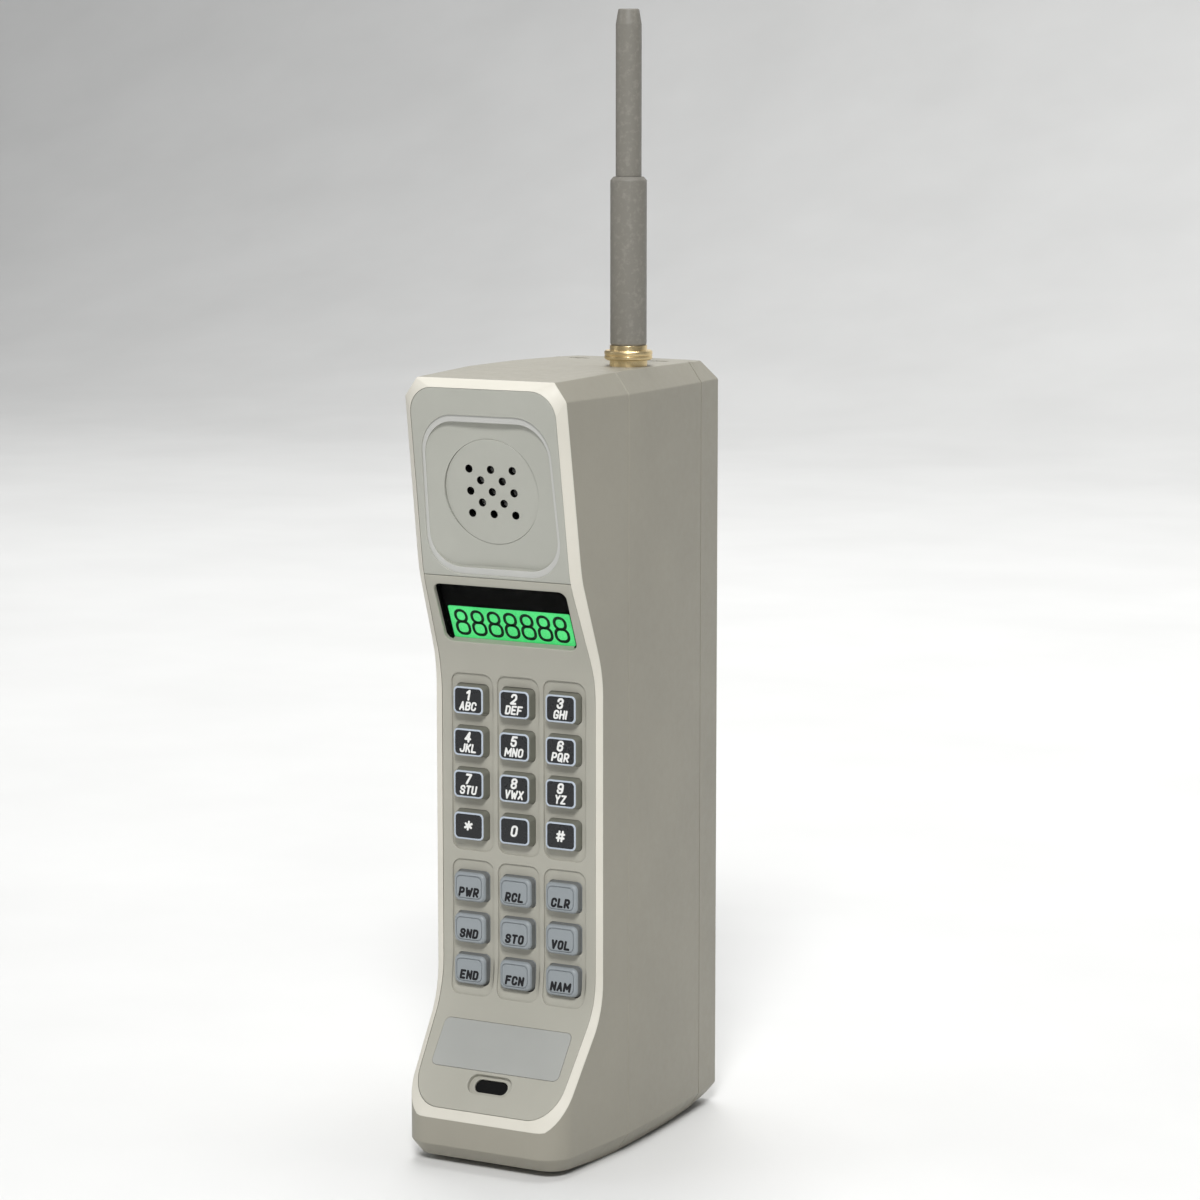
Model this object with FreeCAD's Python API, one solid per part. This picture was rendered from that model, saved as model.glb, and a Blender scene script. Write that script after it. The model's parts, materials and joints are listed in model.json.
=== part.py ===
"""Hand-held brick telephone, built as separate solids and written as one STEP file per node.

Units are millimetres. The frame's origin is on the plane the phone stands on, at mid-width, in the plane
where the front and rear shells meet. X runs to the right as seen from the keypad, the keypad faces -Y,
and Z is up.
"""

import FreeCAD
import Part
import math
import os

Vec = FreeCAD.Vector
X_AXIS = Vec(1, 0, 0)
Y_AXIS = Vec(0, 1, 0)
Z_AXIS = Vec(0, 0, 1)

# ---------------------------------------------------------------- driving dimensions

# Plan of the body: the side walls spread from the front to the seam and bow gently in again behind it.
SEAM_HALF_WIDTH = 24.4
SIDE_TAPER = 0.078
REAR_BOW_HALF_WIDTH = 24.0
REAR_BOW_Y = 22.0
PACK_FRONT_Y = 41.5
PACK_FRONT_HALF_WIDTH = 22.8
BACK_CORNER_Y = 53.5
BACK_CORNER_HALF_WIDTH = 21.5
BACK_Y = 55.5
FAR_FRONT_Y = -60.0

# Heights and edge chamfers.
BOTTOM_CHAMFER_Z = 4.9
SHOULDER_Z = 188.9
TOP_FRONT_Z = 193.5
TOP_SEAM_Z = 194.2
TOP_BACK_Z = 193.5
CHAMFER_INSET = 3.3

# Walls.
WALL = 2.0
FLOOR_THICKNESS = 2.4
REAR_WALL_Y = 38.0

# Front face, as lines in the side view.
HEAD_SLOPE = 0.153
DISPLAY_SLOPE = 0.42
RAMP_SLOPE = -0.75
HEAD_TOP_Y = -27.3
PANEL_TOP_Z = 191.6
HEAD_FOOT_Z = 145.2
HEAD_FOOT_Y = -22.5
GRIP_Y = -12.0
DISPLAY_FOOT_Z = HEAD_FOOT_Z - (GRIP_Y - HEAD_FOOT_Y) / DISPLAY_SLOPE
CHIN_Y = -32.0
CHIN_TOP_Z = 12.0
CHIN_LIP_Y = CHIN_Y + 0.7
PANEL_FOOT_Z = 14.2
RAMP_TOP_Z = PANEL_FOOT_Z + (CHIN_LIP_Y - GRIP_Y) / RAMP_SLOPE
CHIN_CORNER_RADIUS = 8.0
BEND_RADIUS = 30.0
RAMP_BEND_RADIUS = 22.0

# Underside, side view: it rises from a flat middle to the chin and to the heel.
CHIN_FOOT_Z = 5.2
CHIN_BOTTOM_Y = -28.8
CHIN_BOTTOM_Z = 1.6
FLAT_FRONT_Y = -8.0
FLAT_BACK_Y = 30.0
HEEL_Y = 48.0
HEEL_Z = 1.2
TAIL_Y = BACK_Y + 5
TAIL_Z = 3.5

# Bevel that runs down both sides of the front face, and its depth at a few heights.
BEVEL_WIDTH = 1.9
EDGE_GRIP_Y = -11.6
EDGE_GRIP_TOP_Z = DISPLAY_FOOT_Z + 1.8
EDGE_GRIP_FOOT_Z = RAMP_TOP_Z - 1.7
EDGE_HEAD_FOOT_Y = -20.65
EDGE_BEND_RADIUS = 40.0
BEVEL_DEPTHS = ((CHIN_TOP_Z, 1.55), (30.0, 1.5), (41.0, 0.4), (118.0, 0.4), (HEAD_FOOT_Z, 1.85))

# Front panels.
PANEL_THICKNESS = 2.2
PANEL_GAP = 0.05
PANEL_SPLIT_Z = 144.9
PANEL_HALF_WIDTHS = (
    (PANEL_FOOT_Z, 20.1),
    (RAMP_TOP_Z, 21.6),
    (DISPLAY_FOOT_Z, 21.6),
    (HEAD_FOOT_Z, 20.4),
    (PANEL_TOP_Z, 20.0),
)
PANEL_CORNER_FOOT = 8.0
PANEL_CORNER_TOP = 6.5
PANEL_EDGE_TOP_Z = PANEL_TOP_Z - 0.3
PANEL_EDGE_FOOT_Z = PANEL_FOOT_Z + 0.3
POCKET_WALL = 1.75
FRONT_SKIN = PANEL_THICKNESS + PANEL_GAP + POCKET_WALL

# Keys.
KEY_COLUMN_PITCH = 13.0
KEY_ROW_PITCH = 10.49
NUMBER_BLOCK_Z = 97.3
FUNCTION_BLOCK_Z = 55.65
KEY_TOP_Y = -14.0
KEY_BASE_SIZE = (9.2, 7.6)
KEY_BASE_RADIUS = 1.3
KEY_TOP_SIZE = (8.3, 6.7)
KEY_TOP_RADIUS = 1.4
KEY_TRAVEL = 0.8
CHANNEL_DEPTH = 0.5
CHANNEL_WIDTH = 11.6
CHANNEL_RADIUS = 2.4
NUMBER_CHANNEL_HEIGHT = 44.4
FUNCTION_CHANNEL_HEIGHT = 34.0

# Antenna.
ANTENNA_X = 14.0
ANTENNA_Y = 19.0
SOCKET_RADIUS = 4.65
SOCKET_RISE = 1.5
SOCKET_BODY_RADIUS = 4.3
SOCKET_DEPTH = 14.0
SOCKET_GAP = 0.03
SOCKET_NUT_RADIUS = 5.9
SOCKET_NUT_HEIGHT = 3.5
COLLAR_RADIUS = 5.95
COLLAR_HEIGHT = 2.4
NECK_RADIUS = 4.6
NECK_TOP_RISE = 5.2
SLEEVE_RADIUS = 4.5
SLEEVE_TOP_RISE = 46.5
WHIP_RADIUS = 3.18
WHIP_SHOULDER_RISE = 83.4
WHIP_TOP_RISE = 87.2
WHIP_TIP_RADIUS = 2.55
CORE_RADIUS = 1.5
CORE_SOCKET = 3.0
STUD_RADIUS = 3.0
STUD_LENGTH = 7.0

# Clearances.
RUNNING_GAP = 0.05
FIT_GAP = 0.1

# Tools that trim the body reach this far past it.
SIDE_REACH = 40.0
BELOW_Z = -5.0
ABOVE_Z = 205.0


# ---------------------------------------------------------------- outline helpers

def in_side_view(point):
    """Place a flat (y, z) point in the plane X = 0."""
    return Vec(0, point.x, point.y)


def in_front_view(point):
    """Place a flat (x, z) point in the plane Y = 0."""
    return Vec(point.x, 0, point.y)


def in_plan(point):
    """Place a flat (x, y) point in the plane Z = 0."""
    return Vec(point.x, point.y, 0)


def corner_points(before, here, after, radius):
    """Start, middle and end of the arc that rounds one corner."""
    back = (before - here).normalize()
    ahead = (after - here).normalize()
    half_angle = back.getAngle(ahead) / 2
    reach = radius / math.tan(half_angle)
    to_arc = radius / math.sin(half_angle) - radius
    bisector = (back + ahead).normalize()
    return here + back * reach, here + bisector * to_arc, here + ahead * reach


def rounded_edges(corners, to_space, closed=True):
    """Edges of an outline of (a, b, radius) corners, each rounded by a tangent arc."""
    flat = [Vec(a, b, 0) for a, b, _ in corners]
    count = len(corners)
    edges = []
    pen = None
    start = None
    for index, (_, _, radius) in enumerate(corners):
        is_end = not closed and index in (0, count - 1)
        if radius and not is_end:
            enter, middle, leave = corner_points(
                flat[index - 1], flat[index], flat[(index + 1) % count], radius
            )
        else:
            enter = leave = flat[index]
            middle = None
        if pen is None:
            start = enter
        else:
            edges.append(Part.makeLine(to_space(pen), to_space(enter)))
        if middle is not None:
            edges.append(Part.Arc(to_space(enter), to_space(middle), to_space(leave)).toShape())
        pen = leave
    if closed:
        edges.append(Part.makeLine(to_space(pen), to_space(start)))
    return edges


def prism(corners, to_space, start, length):
    """Extrude a closed rounded outline along a vector, from a starting offset."""
    face = Part.Face(Part.Wire(rounded_edges(corners, to_space)))
    face.translate(start)
    return face.extrude(length)


def side_prism(corners):
    """Side-view outline extruded past both sides of the body."""
    return prism(corners, in_side_view, X_AXIS * -SIDE_REACH, X_AXIS * 2 * SIDE_REACH)


def front_prism(corners, near_y, far_y):
    """Front-view outline extruded from near_y to far_y."""
    return prism(corners, in_front_view, Y_AXIS * near_y, Y_AXIS * (far_y - near_y))


def rectangle(width, height, radius=0.0, center=(0.0, 0.0)):
    """Corners of a rounded rectangle."""
    cx, cy = center
    signs = ((-1, -1), (1, -1), (1, 1), (-1, 1))
    return [(cx + sx * width / 2, cy + sy * height / 2, radius) for sx, sy in signs]


def block(x_range, y_range, z_range):
    """Box given by its low and high values on each axis."""
    low = Vec(x_range[0], y_range[0], z_range[0])
    size = Vec(x_range[1], y_range[1], z_range[1]) - low
    return Part.makeBox(size.x, size.y, size.z, low)


def slice_of(near_y, far_y, low_z=BELOW_Z, high_z=ABOVE_Z):
    """Block across the whole width, between two depths."""
    return block((-SIDE_REACH, SIDE_REACH), (near_y, far_y), (low_z, high_z))


def rod(radius, start, end):
    """Round bar between two points."""
    start = Vec(*start)
    along = Vec(*end) - start
    return Part.makeCylinder(radius, along.Length, start, along)


def tapered_plate(lower, upper, low, high):
    """Solid between two flat rounded outlines at local heights low and high."""
    wires = []
    for corners, height in ((lower, low), (upper, high)):
        wire = Part.Wire(rounded_edges(corners, in_plan))
        wire.translate(Z_AXIS * height)
        wires.append(wire)
    return Part.makeLoft(wires, True, True)


def plate(corners, low, high):
    """Flat rounded outline extruded between local heights low and high."""
    return prism(corners, in_plan, Z_AXIS * low, Z_AXIS * (high - low))


def fuse_all(shapes):
    """One solid from touching or overlapping solids."""
    whole = shapes[0].multiFuse(shapes[1:]) if len(shapes) > 1 else shapes[0]
    return whole.removeSplitter()


def surface_frame(y, z, slope):
    """Placement whose local X is across, Y up the sloping face and Z out of it."""
    return FreeCAD.Placement(Vec(0, y, z), FreeCAD.Rotation(X_AXIS, 90 + math.degrees(math.atan(slope))))


def placed(shape, frame):
    """Copy of a locally built shape moved into a surface frame."""
    moved = shape.copy()
    moved.Placement = frame.multiply(moved.Placement)
    return moved


def antenna_rod(radius, low_rise, high_rise):
    """Bar on the antenna's axis between two heights above the top face."""
    low = (ANTENNA_X, ANTENNA_Y, TOP_SEAM_Z + low_rise)
    high = (ANTENNA_X, ANTENNA_Y, TOP_SEAM_Z + high_rise)
    return rod(radius, low, high)


def value_at(table, z):
    """Value at height z from a table of (height, value) pairs, joined by straight lines."""
    for (low_z, low), (high_z, high) in zip(table, table[1:]):
        if z <= high_z:
            return low + (high - low) * max(0.0, z - low_z) / (high_z - low_z)
    return table[-1][1]


# ---------------------------------------------------------------- body outlines

def half_width(y):
    """Half the body's width at depth y, in front of the seam."""
    return SEAM_HALF_WIDTH + SIDE_TAPER * y


def plan_wire(inset, z):
    """Plan outline of the whole body, drawn in by inset, at height z."""
    right = [
        Vec(half_width(FAR_FRONT_Y) - inset, FAR_FRONT_Y, z),
        Vec(SEAM_HALF_WIDTH - inset, 0, z),
        Vec(REAR_BOW_HALF_WIDTH - inset, REAR_BOW_Y, z),
        Vec(PACK_FRONT_HALF_WIDTH - inset, PACK_FRONT_Y, z),
        Vec(BACK_CORNER_HALF_WIDTH - inset, BACK_CORNER_Y - inset, z),
    ]
    left = [Vec(-point.x, point.y, z) for point in right]
    back_middle = Vec(0, BACK_Y - inset, z)
    return Part.Wire([
        Part.makeLine(left[0], right[0]),
        Part.makeLine(right[0], right[1]),
        Part.Arc(right[1], right[2], right[3]).toShape(),
        Part.makeLine(right[3], right[4]),
        Part.Arc(right[4], back_middle, left[4]).toShape(),
        Part.makeLine(left[4], left[3]),
        Part.Arc(left[3], left[2], left[1]).toShape(),
        Part.makeLine(left[1], left[0]),
    ])


def plan_stack(extra_inset, bottom_z, top_z):
    """Body envelope seen from above: chamfered at the foot and at the shoulders."""
    slope = CHAMFER_INSET / (TOP_FRONT_Z - SHOULDER_Z)
    crown_z = TOP_SEAM_Z + 2
    levels = [
        (CHAMFER_INSET, 0.0),
        (0.0, BOTTOM_CHAMFER_Z),
        (0.0, SHOULDER_Z),
        (slope * (crown_z - SHOULDER_Z), crown_z),
    ]
    wires = [plan_wire(inset + extra_inset, z) for inset, z in levels]
    parts = [Part.makeLoft(wires[i:i + 2], True, True) for i in range(len(wires) - 1)]
    stack = fuse_all(parts)
    reach = 2 * SEAM_HALF_WIDTH
    return stack.common(block((-reach, reach), (FAR_FRONT_Y, BACK_Y + reach), (bottom_z, top_z)))


def panel_y(z):
    """Depth of the head, display and ramp lines of the front face, ignoring the rounded bends."""
    if z > HEAD_FOOT_Z:
        return HEAD_FOOT_Y - HEAD_SLOPE * (z - HEAD_FOOT_Z)
    if z > DISPLAY_FOOT_Z:
        return HEAD_FOOT_Y + DISPLAY_SLOPE * (HEAD_FOOT_Z - z)
    if z > RAMP_TOP_Z:
        return GRIP_Y
    return GRIP_Y + RAMP_SLOPE * (RAMP_TOP_Z - z)


def side_outline(back, floor=0.0, roof=0.0):
    """Side view of the body with its front face moved back, its floor raised and its roof lowered."""
    return [
        (HEAD_TOP_Y + back, TOP_FRONT_Z - roof, 0),
        (panel_y(PANEL_TOP_Z) + back, PANEL_TOP_Z - roof, 0),
        (HEAD_FOOT_Y + back, HEAD_FOOT_Z, BEND_RADIUS),
        (GRIP_Y + back, DISPLAY_FOOT_Z, BEND_RADIUS),
        (GRIP_Y + back, RAMP_TOP_Z, RAMP_BEND_RADIUS),
        (CHIN_LIP_Y + back, PANEL_FOOT_Z, 0),
        (CHIN_Y + back, CHIN_TOP_Z, 0),
        (CHIN_Y + back, CHIN_FOOT_Z + floor, 0),
        (CHIN_BOTTOM_Y + back, CHIN_BOTTOM_Z + floor, 0),
        (FLAT_FRONT_Y, floor, 0),
        (FLAT_BACK_Y, floor, 0),
        (HEEL_Y, HEEL_Z + floor, 0),
        (TAIL_Y, TAIL_Z + floor, 0),
        (TAIL_Y, TOP_BACK_Z - roof, 0),
        (REAR_BOW_Y, TOP_SEAM_Z - roof, 0),
        (0.0, TOP_SEAM_Z - roof, 0),
    ]


def edge_stations():
    """Points (y, z) down the outer edge of the side bevels, from above the head to the chin."""
    head_top_z = TOP_SEAM_Z + 5
    corners = [
        (EDGE_HEAD_FOOT_Y - HEAD_SLOPE * (head_top_z - HEAD_FOOT_Z), head_top_z, 0),
        (EDGE_HEAD_FOOT_Y, HEAD_FOOT_Z, EDGE_BEND_RADIUS),
        (EDGE_GRIP_Y, EDGE_GRIP_TOP_Z, BEND_RADIUS),
        (EDGE_GRIP_Y, EDGE_GRIP_FOOT_Z, RAMP_BEND_RADIUS),
        (EDGE_GRIP_Y + RAMP_SLOPE * (EDGE_GRIP_FOOT_Z - CHIN_TOP_Z), CHIN_TOP_Z, 0),
    ]
    points = []
    for edge in rounded_edges(corners, in_side_view, closed=False):
        count = 2 if isinstance(edge.Curve, Part.Line) else 5
        for point in edge.discretize(count):
            if not points or points[-1].distanceToPoint(point) > 0.01:
                points.append(point)
    return [(point.y, point.z) for point in points]


def bevel_envelope():
    """Solid behind both side bevels, extended to where the two bevel planes meet ahead of the body."""
    wires = []
    for y, z in edge_stations():
        side = half_width(y)
        apex_y = y - value_at(BEVEL_DEPTHS, z) * side / BEVEL_WIDTH
        wires.append(Part.makePolygon([
            Vec(SEAM_HALF_WIDTH, 0, z),
            Vec(side, y, z),
            Vec(0, apex_y, z),
            Vec(-side, y, z),
            Vec(-SEAM_HALF_WIDTH, 0, z),
            Vec(SEAM_HALF_WIDTH, 0, z),
        ]))
    return Part.makeLoft(wires, True, True)


def chin_corner_cutters():
    """Material outside the rounded vertical corners of the chin."""
    radius = CHIN_CORNER_RADIUS
    axis_y = CHIN_Y + radius
    axis_x = half_width(axis_y) - radius
    top_z = RAMP_TOP_Z + (axis_y - GRIP_Y) / -RAMP_SLOPE
    cutters = []
    for side in (-1, 1):
        x_range = sorted((side * axis_x, side * (axis_x + 2 * radius)))
        corner = block(x_range, (CHIN_Y - radius, axis_y), (-1, top_z))
        pillar = rod(radius, (side * axis_x, axis_y, -2), (side * axis_x, axis_y, top_z + 1))
        cutters.append(corner.cut(pillar))
    return cutters


def outer_body():
    """The whole outside of the phone as one solid, later split into shells and battery pack."""
    body = side_prism(side_outline(0)).common(plan_stack(0, 0, TOP_SEAM_Z + 2))
    front_room = slice_of(FAR_FRONT_Y, 0, CHIN_TOP_Z, TOP_SEAM_Z + 5)
    body = body.cut(front_room.cut(bevel_envelope()))
    for cutter in chin_corner_cutters():
        body = body.cut(cutter)
    return body


def inner_cavity():
    """Room for the electronics, inside both shells."""
    cavity = side_prism(side_outline(FRONT_SKIN, floor=FLOOR_THICKNESS, roof=FLOOR_THICKNESS))
    cavity = cavity.common(plan_stack(WALL, FLOOR_THICKNESS, TOP_SEAM_Z - FLOOR_THICKNESS))
    return cavity.common(slice_of(FAR_FRONT_Y, REAR_WALL_Y))


def panel_outline(low_z, high_z, inset=0.0, low_radius=0.0, high_radius=0.0):
    """Front-view outline of the inset front panels between two heights."""
    apart = 0.5
    between = [z for z, _ in PANEL_HALF_WIDTHS if low_z + apart < z < high_z - apart]
    right = [(value_at(PANEL_HALF_WIDTHS, z) - inset, z, 0) for z in [low_z, *between, high_z]]
    right[0] = (right[0][0], low_z + (inset if low_radius else 0), low_radius)
    right[-1] = (right[-1][0], high_z - (inset if high_radius else 0), high_radius)
    left = [(-x, z, radius) for x, z, radius in reversed(right)]
    return right + left


def front_band(low_z, high_z, depth, low_radius, high_radius, inset=0.0):
    """Slab of the given depth under the front face, within the panel outline."""
    outline = panel_outline(low_z, high_z, inset, low_radius, high_radius)
    slab = front_prism(outline, FAR_FRONT_Y, 0)
    slab = slab.common(side_prism(side_outline(0)))
    return slab.cut(side_prism(side_outline(depth)))


# ---------------------------------------------------------------- surface frames

HEAD_CENTER_Z = 165.2
DISPLAY_CENTER_Z = 135.2
PLATE_CENTER_Z = 28.3
MIC_CENTER_Z = 20.45

HEAD_FRAME = surface_frame(panel_y(HEAD_CENTER_Z), HEAD_CENTER_Z, HEAD_SLOPE)
DISPLAY_FRAME = surface_frame(panel_y(DISPLAY_CENTER_Z), DISPLAY_CENTER_Z, DISPLAY_SLOPE)
PLATE_FRAME = surface_frame(panel_y(PLATE_CENTER_Z), PLATE_CENTER_Z, RAMP_SLOPE)
MIC_FRAME = surface_frame(panel_y(MIC_CENTER_Z), MIC_CENTER_Z, RAMP_SLOPE)
GRIP_FRAME = surface_frame(GRIP_Y, 0, 0)

# Earpiece.
EAR_SIZE = (37.4, 39.6)
EAR_RIM_SIZE = (36.0, 36.2)
EAR_RADIUS = 9.5
EAR_RIM_DEPTH = 0.5
EAR_TROUGH_DEPTH = 2.0
GRILLE_RADIUS = 13.0
GRILLE_FACE = -1.75
GRILLE_THICKNESS = 1.4
GRILLE_CENTER_UP = 0.8
GRILLE_HOLE_RADIUS = 0.9
GRILLE_COLUMN = 6.0
GRILLE_ROW = 2.75
EAR_BLOCK_SIZE = (28.0, 31.6)
EAR_BLOCK_RADIUS = 4.0
EAR_BLOCK_DEPTH = 4.2
THROAT_RADIUS = 9.5
RECEIVER_RADIUS = 11.0
RECEIVER_DEPTH = 6.5
GASKET_THICKNESS = 0.8

# Display.
WINDOW_SIZE = (37.0, 16.2)
WINDOW_RADIUS = 2.0
WINDOW_THICKNESS = 0.8
WINDOW_SUNK = 0.2
GLASS_SIZE = (34.1, 8.9)
GLASS_CENTER_UP = -3.6
GLASS_FACE = -2.05
GLASS_THICKNESS = 1.1
GLASS_RADIUS = 0.3
MODULE_THICKNESS = 4.0

# Lower front.
PLATE_SIZE = (36.0, 12.9)
PLATE_RADIUS = 1.6
PLATE_THICKNESS = 0.5
MIC_RECESS_SIZE = (12.1, 5.1)
MIC_RECESS_RADIUS = 2.5
MIC_RECESS_DEPTH = 1.2
MIC_SLOT_SIZE = (9.2, 3.5)
MIC_SLOT_RADIUS = 1.7

# Tools that open a face start this far ahead of it and end this far behind it.
AHEAD = 3.0
BEHIND = 8.0


# ---------------------------------------------------------------- front panels

def key_positions():
    """Name, x and z of each key, from the top left; the last three rows are function keys."""
    numbers = ["1", "2", "3", "4", "5", "6", "7", "8", "9", "star", "0", "hash"]
    functions = ["power", "recall", "clear", "send", "store", "volume", "end", "function", "names"]
    spots = []
    for names, block_z, rows in ((numbers, NUMBER_BLOCK_Z, 4), (functions, FUNCTION_BLOCK_Z, 3)):
        for index, name in enumerate(names):
            row, column = divmod(index, 3)
            x = (column - 1) * KEY_COLUMN_PITCH
            z = block_z + ((rows - 1) / 2 - row) * KEY_ROW_PITCH
            spots.append(("key_" + name, x, z))
    return spots


def channel_cutters():
    """Six shallow channels in the grip face, one above another in three columns."""
    cutters = []
    for column in (-1, 0, 1):
        for block_z, height in (
            (NUMBER_BLOCK_Z, NUMBER_CHANNEL_HEIGHT),
            (FUNCTION_BLOCK_Z, FUNCTION_CHANNEL_HEIGHT),
        ):
            outline = rectangle(CHANNEL_WIDTH, height, CHANNEL_RADIUS, (column * KEY_COLUMN_PITCH, block_z))
            cutters.append(front_prism(outline, GRIP_Y - AHEAD, GRIP_Y + CHANNEL_DEPTH))
    return cutters


def front_panel():
    """Keypad and display panel, following the display slope, the grip and the ramp."""
    panel = front_band(PANEL_EDGE_FOOT_Z, PANEL_SPLIT_Z - 0.05, PANEL_THICKNESS, PANEL_CORNER_FOOT, 0)
    cutters = channel_cutters()
    for _, x, z in key_positions():
        width, height = KEY_BASE_SIZE
        opening = rectangle(width + 2 * FIT_GAP, height + 2 * FIT_GAP, KEY_BASE_RADIUS, (x, z))
        cutters.append(front_prism(opening, GRIP_Y - AHEAD, GRIP_Y + BEHIND))
    window = plate(rectangle(*WINDOW_SIZE, WINDOW_RADIUS), -BEHIND, AHEAD)
    plate_seat = plate(rectangle(*PLATE_SIZE, PLATE_RADIUS), -PLATE_THICKNESS, AHEAD)
    mic_recess = plate(rectangle(*MIC_RECESS_SIZE, MIC_RECESS_RADIUS), -MIC_RECESS_DEPTH, AHEAD)
    mic_slot = plate(rectangle(*MIC_SLOT_SIZE, MIC_SLOT_RADIUS), -BEHIND, AHEAD)
    cutters.append(placed(window, DISPLAY_FRAME))
    cutters.append(placed(plate_seat, PLATE_FRAME))
    cutters.append(placed(mic_recess, MIC_FRAME))
    cutters.append(placed(mic_slot, MIC_FRAME))
    return panel.cut(cutters)


def earpiece_panel():
    """Head panel with a shallow dished recess that frames the grille."""
    panel = front_band(PANEL_SPLIT_Z + 0.05, PANEL_EDGE_TOP_Z, PANEL_THICKNESS, 0, PANEL_CORNER_TOP)
    backing = plate(rectangle(*EAR_BLOCK_SIZE, EAR_BLOCK_RADIUS), -EAR_BLOCK_DEPTH, -1)
    panel = fuse_all([panel, placed(backing, HEAD_FRAME)])
    rim = tapered_plate(
        rectangle(*EAR_RIM_SIZE, EAR_RADIUS - 1),
        rectangle(*EAR_SIZE, EAR_RADIUS),
        -EAR_RIM_DEPTH,
        0,
    )
    above = plate(rectangle(*EAR_SIZE, EAR_RADIUS), 0, AHEAD)
    half_chord = EAR_RIM_SIZE[0] / 2
    sag = EAR_TROUGH_DEPTH - EAR_RIM_DEPTH
    trough_radius = (half_chord ** 2 + sag ** 2) / (2 * sag)
    axis_height = trough_radius - EAR_TROUGH_DEPTH
    trough = rod(trough_radius, (0, -SIDE_REACH, axis_height), (0, SIDE_REACH, axis_height))
    room = plate(rectangle(*EAR_RIM_SIZE, EAR_RADIUS - 1), -EAR_TROUGH_DEPTH - 1, -EAR_RIM_DEPTH)
    trough = trough.common(room)
    seat_floor = GRILLE_FACE - GRILLE_THICKNESS
    center = (0, GRILLE_CENTER_UP)
    seat = rod(GRILLE_RADIUS + RUNNING_GAP, (*center, seat_floor), (*center, 0))
    throat = rod(THROAT_RADIUS, (*center, -BEHIND), (*center, 0))
    return panel.cut([placed(tool, HEAD_FRAME) for tool in (rim, above, trough, seat, throat)])


def earpiece_grille():
    """Round sound disc with thirteen holes in rows of three and two."""
    center = (0, GRILLE_CENTER_UP)
    disc = rod(GRILLE_RADIUS, (*center, GRILLE_FACE - GRILLE_THICKNESS), (*center, GRILLE_FACE))
    holes = []
    for row in range(-2, 3):
        columns = (-1, 0, 1) if row % 2 == 0 else (-0.5, 0.5)
        for column in columns:
            x = column * GRILLE_COLUMN
            up = GRILLE_CENTER_UP + row * GRILLE_ROW
            holes.append(rod(GRILLE_HOLE_RADIUS, (x, up, -BEHIND), (x, up, 0)))
    return placed(disc.cut(holes), HEAD_FRAME)


def receiver_gasket():
    """Foam ring between the head panel and the receiver capsule."""
    center = (0, GRILLE_CENTER_UP)
    front = -EAR_BLOCK_DEPTH - FIT_GAP
    ring = rod(RECEIVER_RADIUS, (*center, front - GASKET_THICKNESS), (*center, front))
    ring = ring.cut(rod(THROAT_RADIUS, (*center, -BEHIND), (*center, 0)))
    return placed(ring, HEAD_FRAME)


def receiver_capsule():
    """Round receiver with a stepped back and a vented front."""
    center = (0, GRILLE_CENTER_UP)
    front = -EAR_BLOCK_DEPTH - GASKET_THICKNESS - 2 * FIT_GAP
    back = front - RECEIVER_DEPTH
    magnet_radius = 0.6 * RECEIVER_RADIUS
    magnet_height = 2.0
    dish_radius = 0.75 * RECEIVER_RADIUS
    dish_depth = 0.8
    drum = rod(RECEIVER_RADIUS, (*center, back), (*center, front))
    magnet = rod(magnet_radius, (*center, back - magnet_height), (*center, back))
    dish = rod(dish_radius, (*center, front - dish_depth), (*center, 0))
    return placed(fuse_all([drum, magnet]).cut(dish), HEAD_FRAME)


def display_window():
    """Clear window that closes the display opening, just below the panel face."""
    width, height = WINDOW_SIZE
    pane = rectangle(width - FIT_GAP, height - FIT_GAP, WINDOW_RADIUS - FIT_GAP / 2)
    return placed(plate(pane, -WINDOW_THICKNESS - WINDOW_SUNK, -WINDOW_SUNK), DISPLAY_FRAME)


def display_module():
    """Black display frame behind the window, with a bed for the display glass."""
    width, height = WINDOW_SIZE
    front = -WINDOW_SUNK - WINDOW_THICKNESS - FIT_GAP
    side_rim = 0.5
    end_rim = 0.3
    outside = rectangle(width - FIT_GAP, height - FIT_GAP, WINDOW_RADIUS - FIT_GAP / 2)
    inside = rectangle(width - 2 * side_rim, height - 2 * end_rim, WINDOW_RADIUS - end_rim)
    cell = rectangle(
        GLASS_SIZE[0] + FIT_GAP, GLASS_SIZE[1] + FIT_GAP, GLASS_RADIUS + FIT_GAP, (0, GLASS_CENTER_UP)
    )
    frame = plate(outside, -MODULE_THICKNESS, front)
    well = plate(inside, GLASS_FACE - RUNNING_GAP, 0)
    bed = plate(cell, GLASS_FACE - GLASS_THICKNESS, 0)
    return placed(frame.cut([well, bed]), DISPLAY_FRAME)


def display_glass():
    """Display cell in the lower half of the window."""
    cell = rectangle(*GLASS_SIZE, GLASS_RADIUS, (0, GLASS_CENTER_UP))
    return placed(plate(cell, GLASS_FACE - GLASS_THICKNESS, GLASS_FACE), DISPLAY_FRAME)


def name_plate():
    """Blank plate let into the ramp and standing a hair proud of it."""
    width, height = PLATE_SIZE
    proud = 0.05
    blank = rectangle(width - FIT_GAP, height - FIT_GAP, PLATE_RADIUS - FIT_GAP / 2)
    return placed(plate(blank, -PLATE_THICKNESS, proud), PLATE_FRAME)


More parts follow.
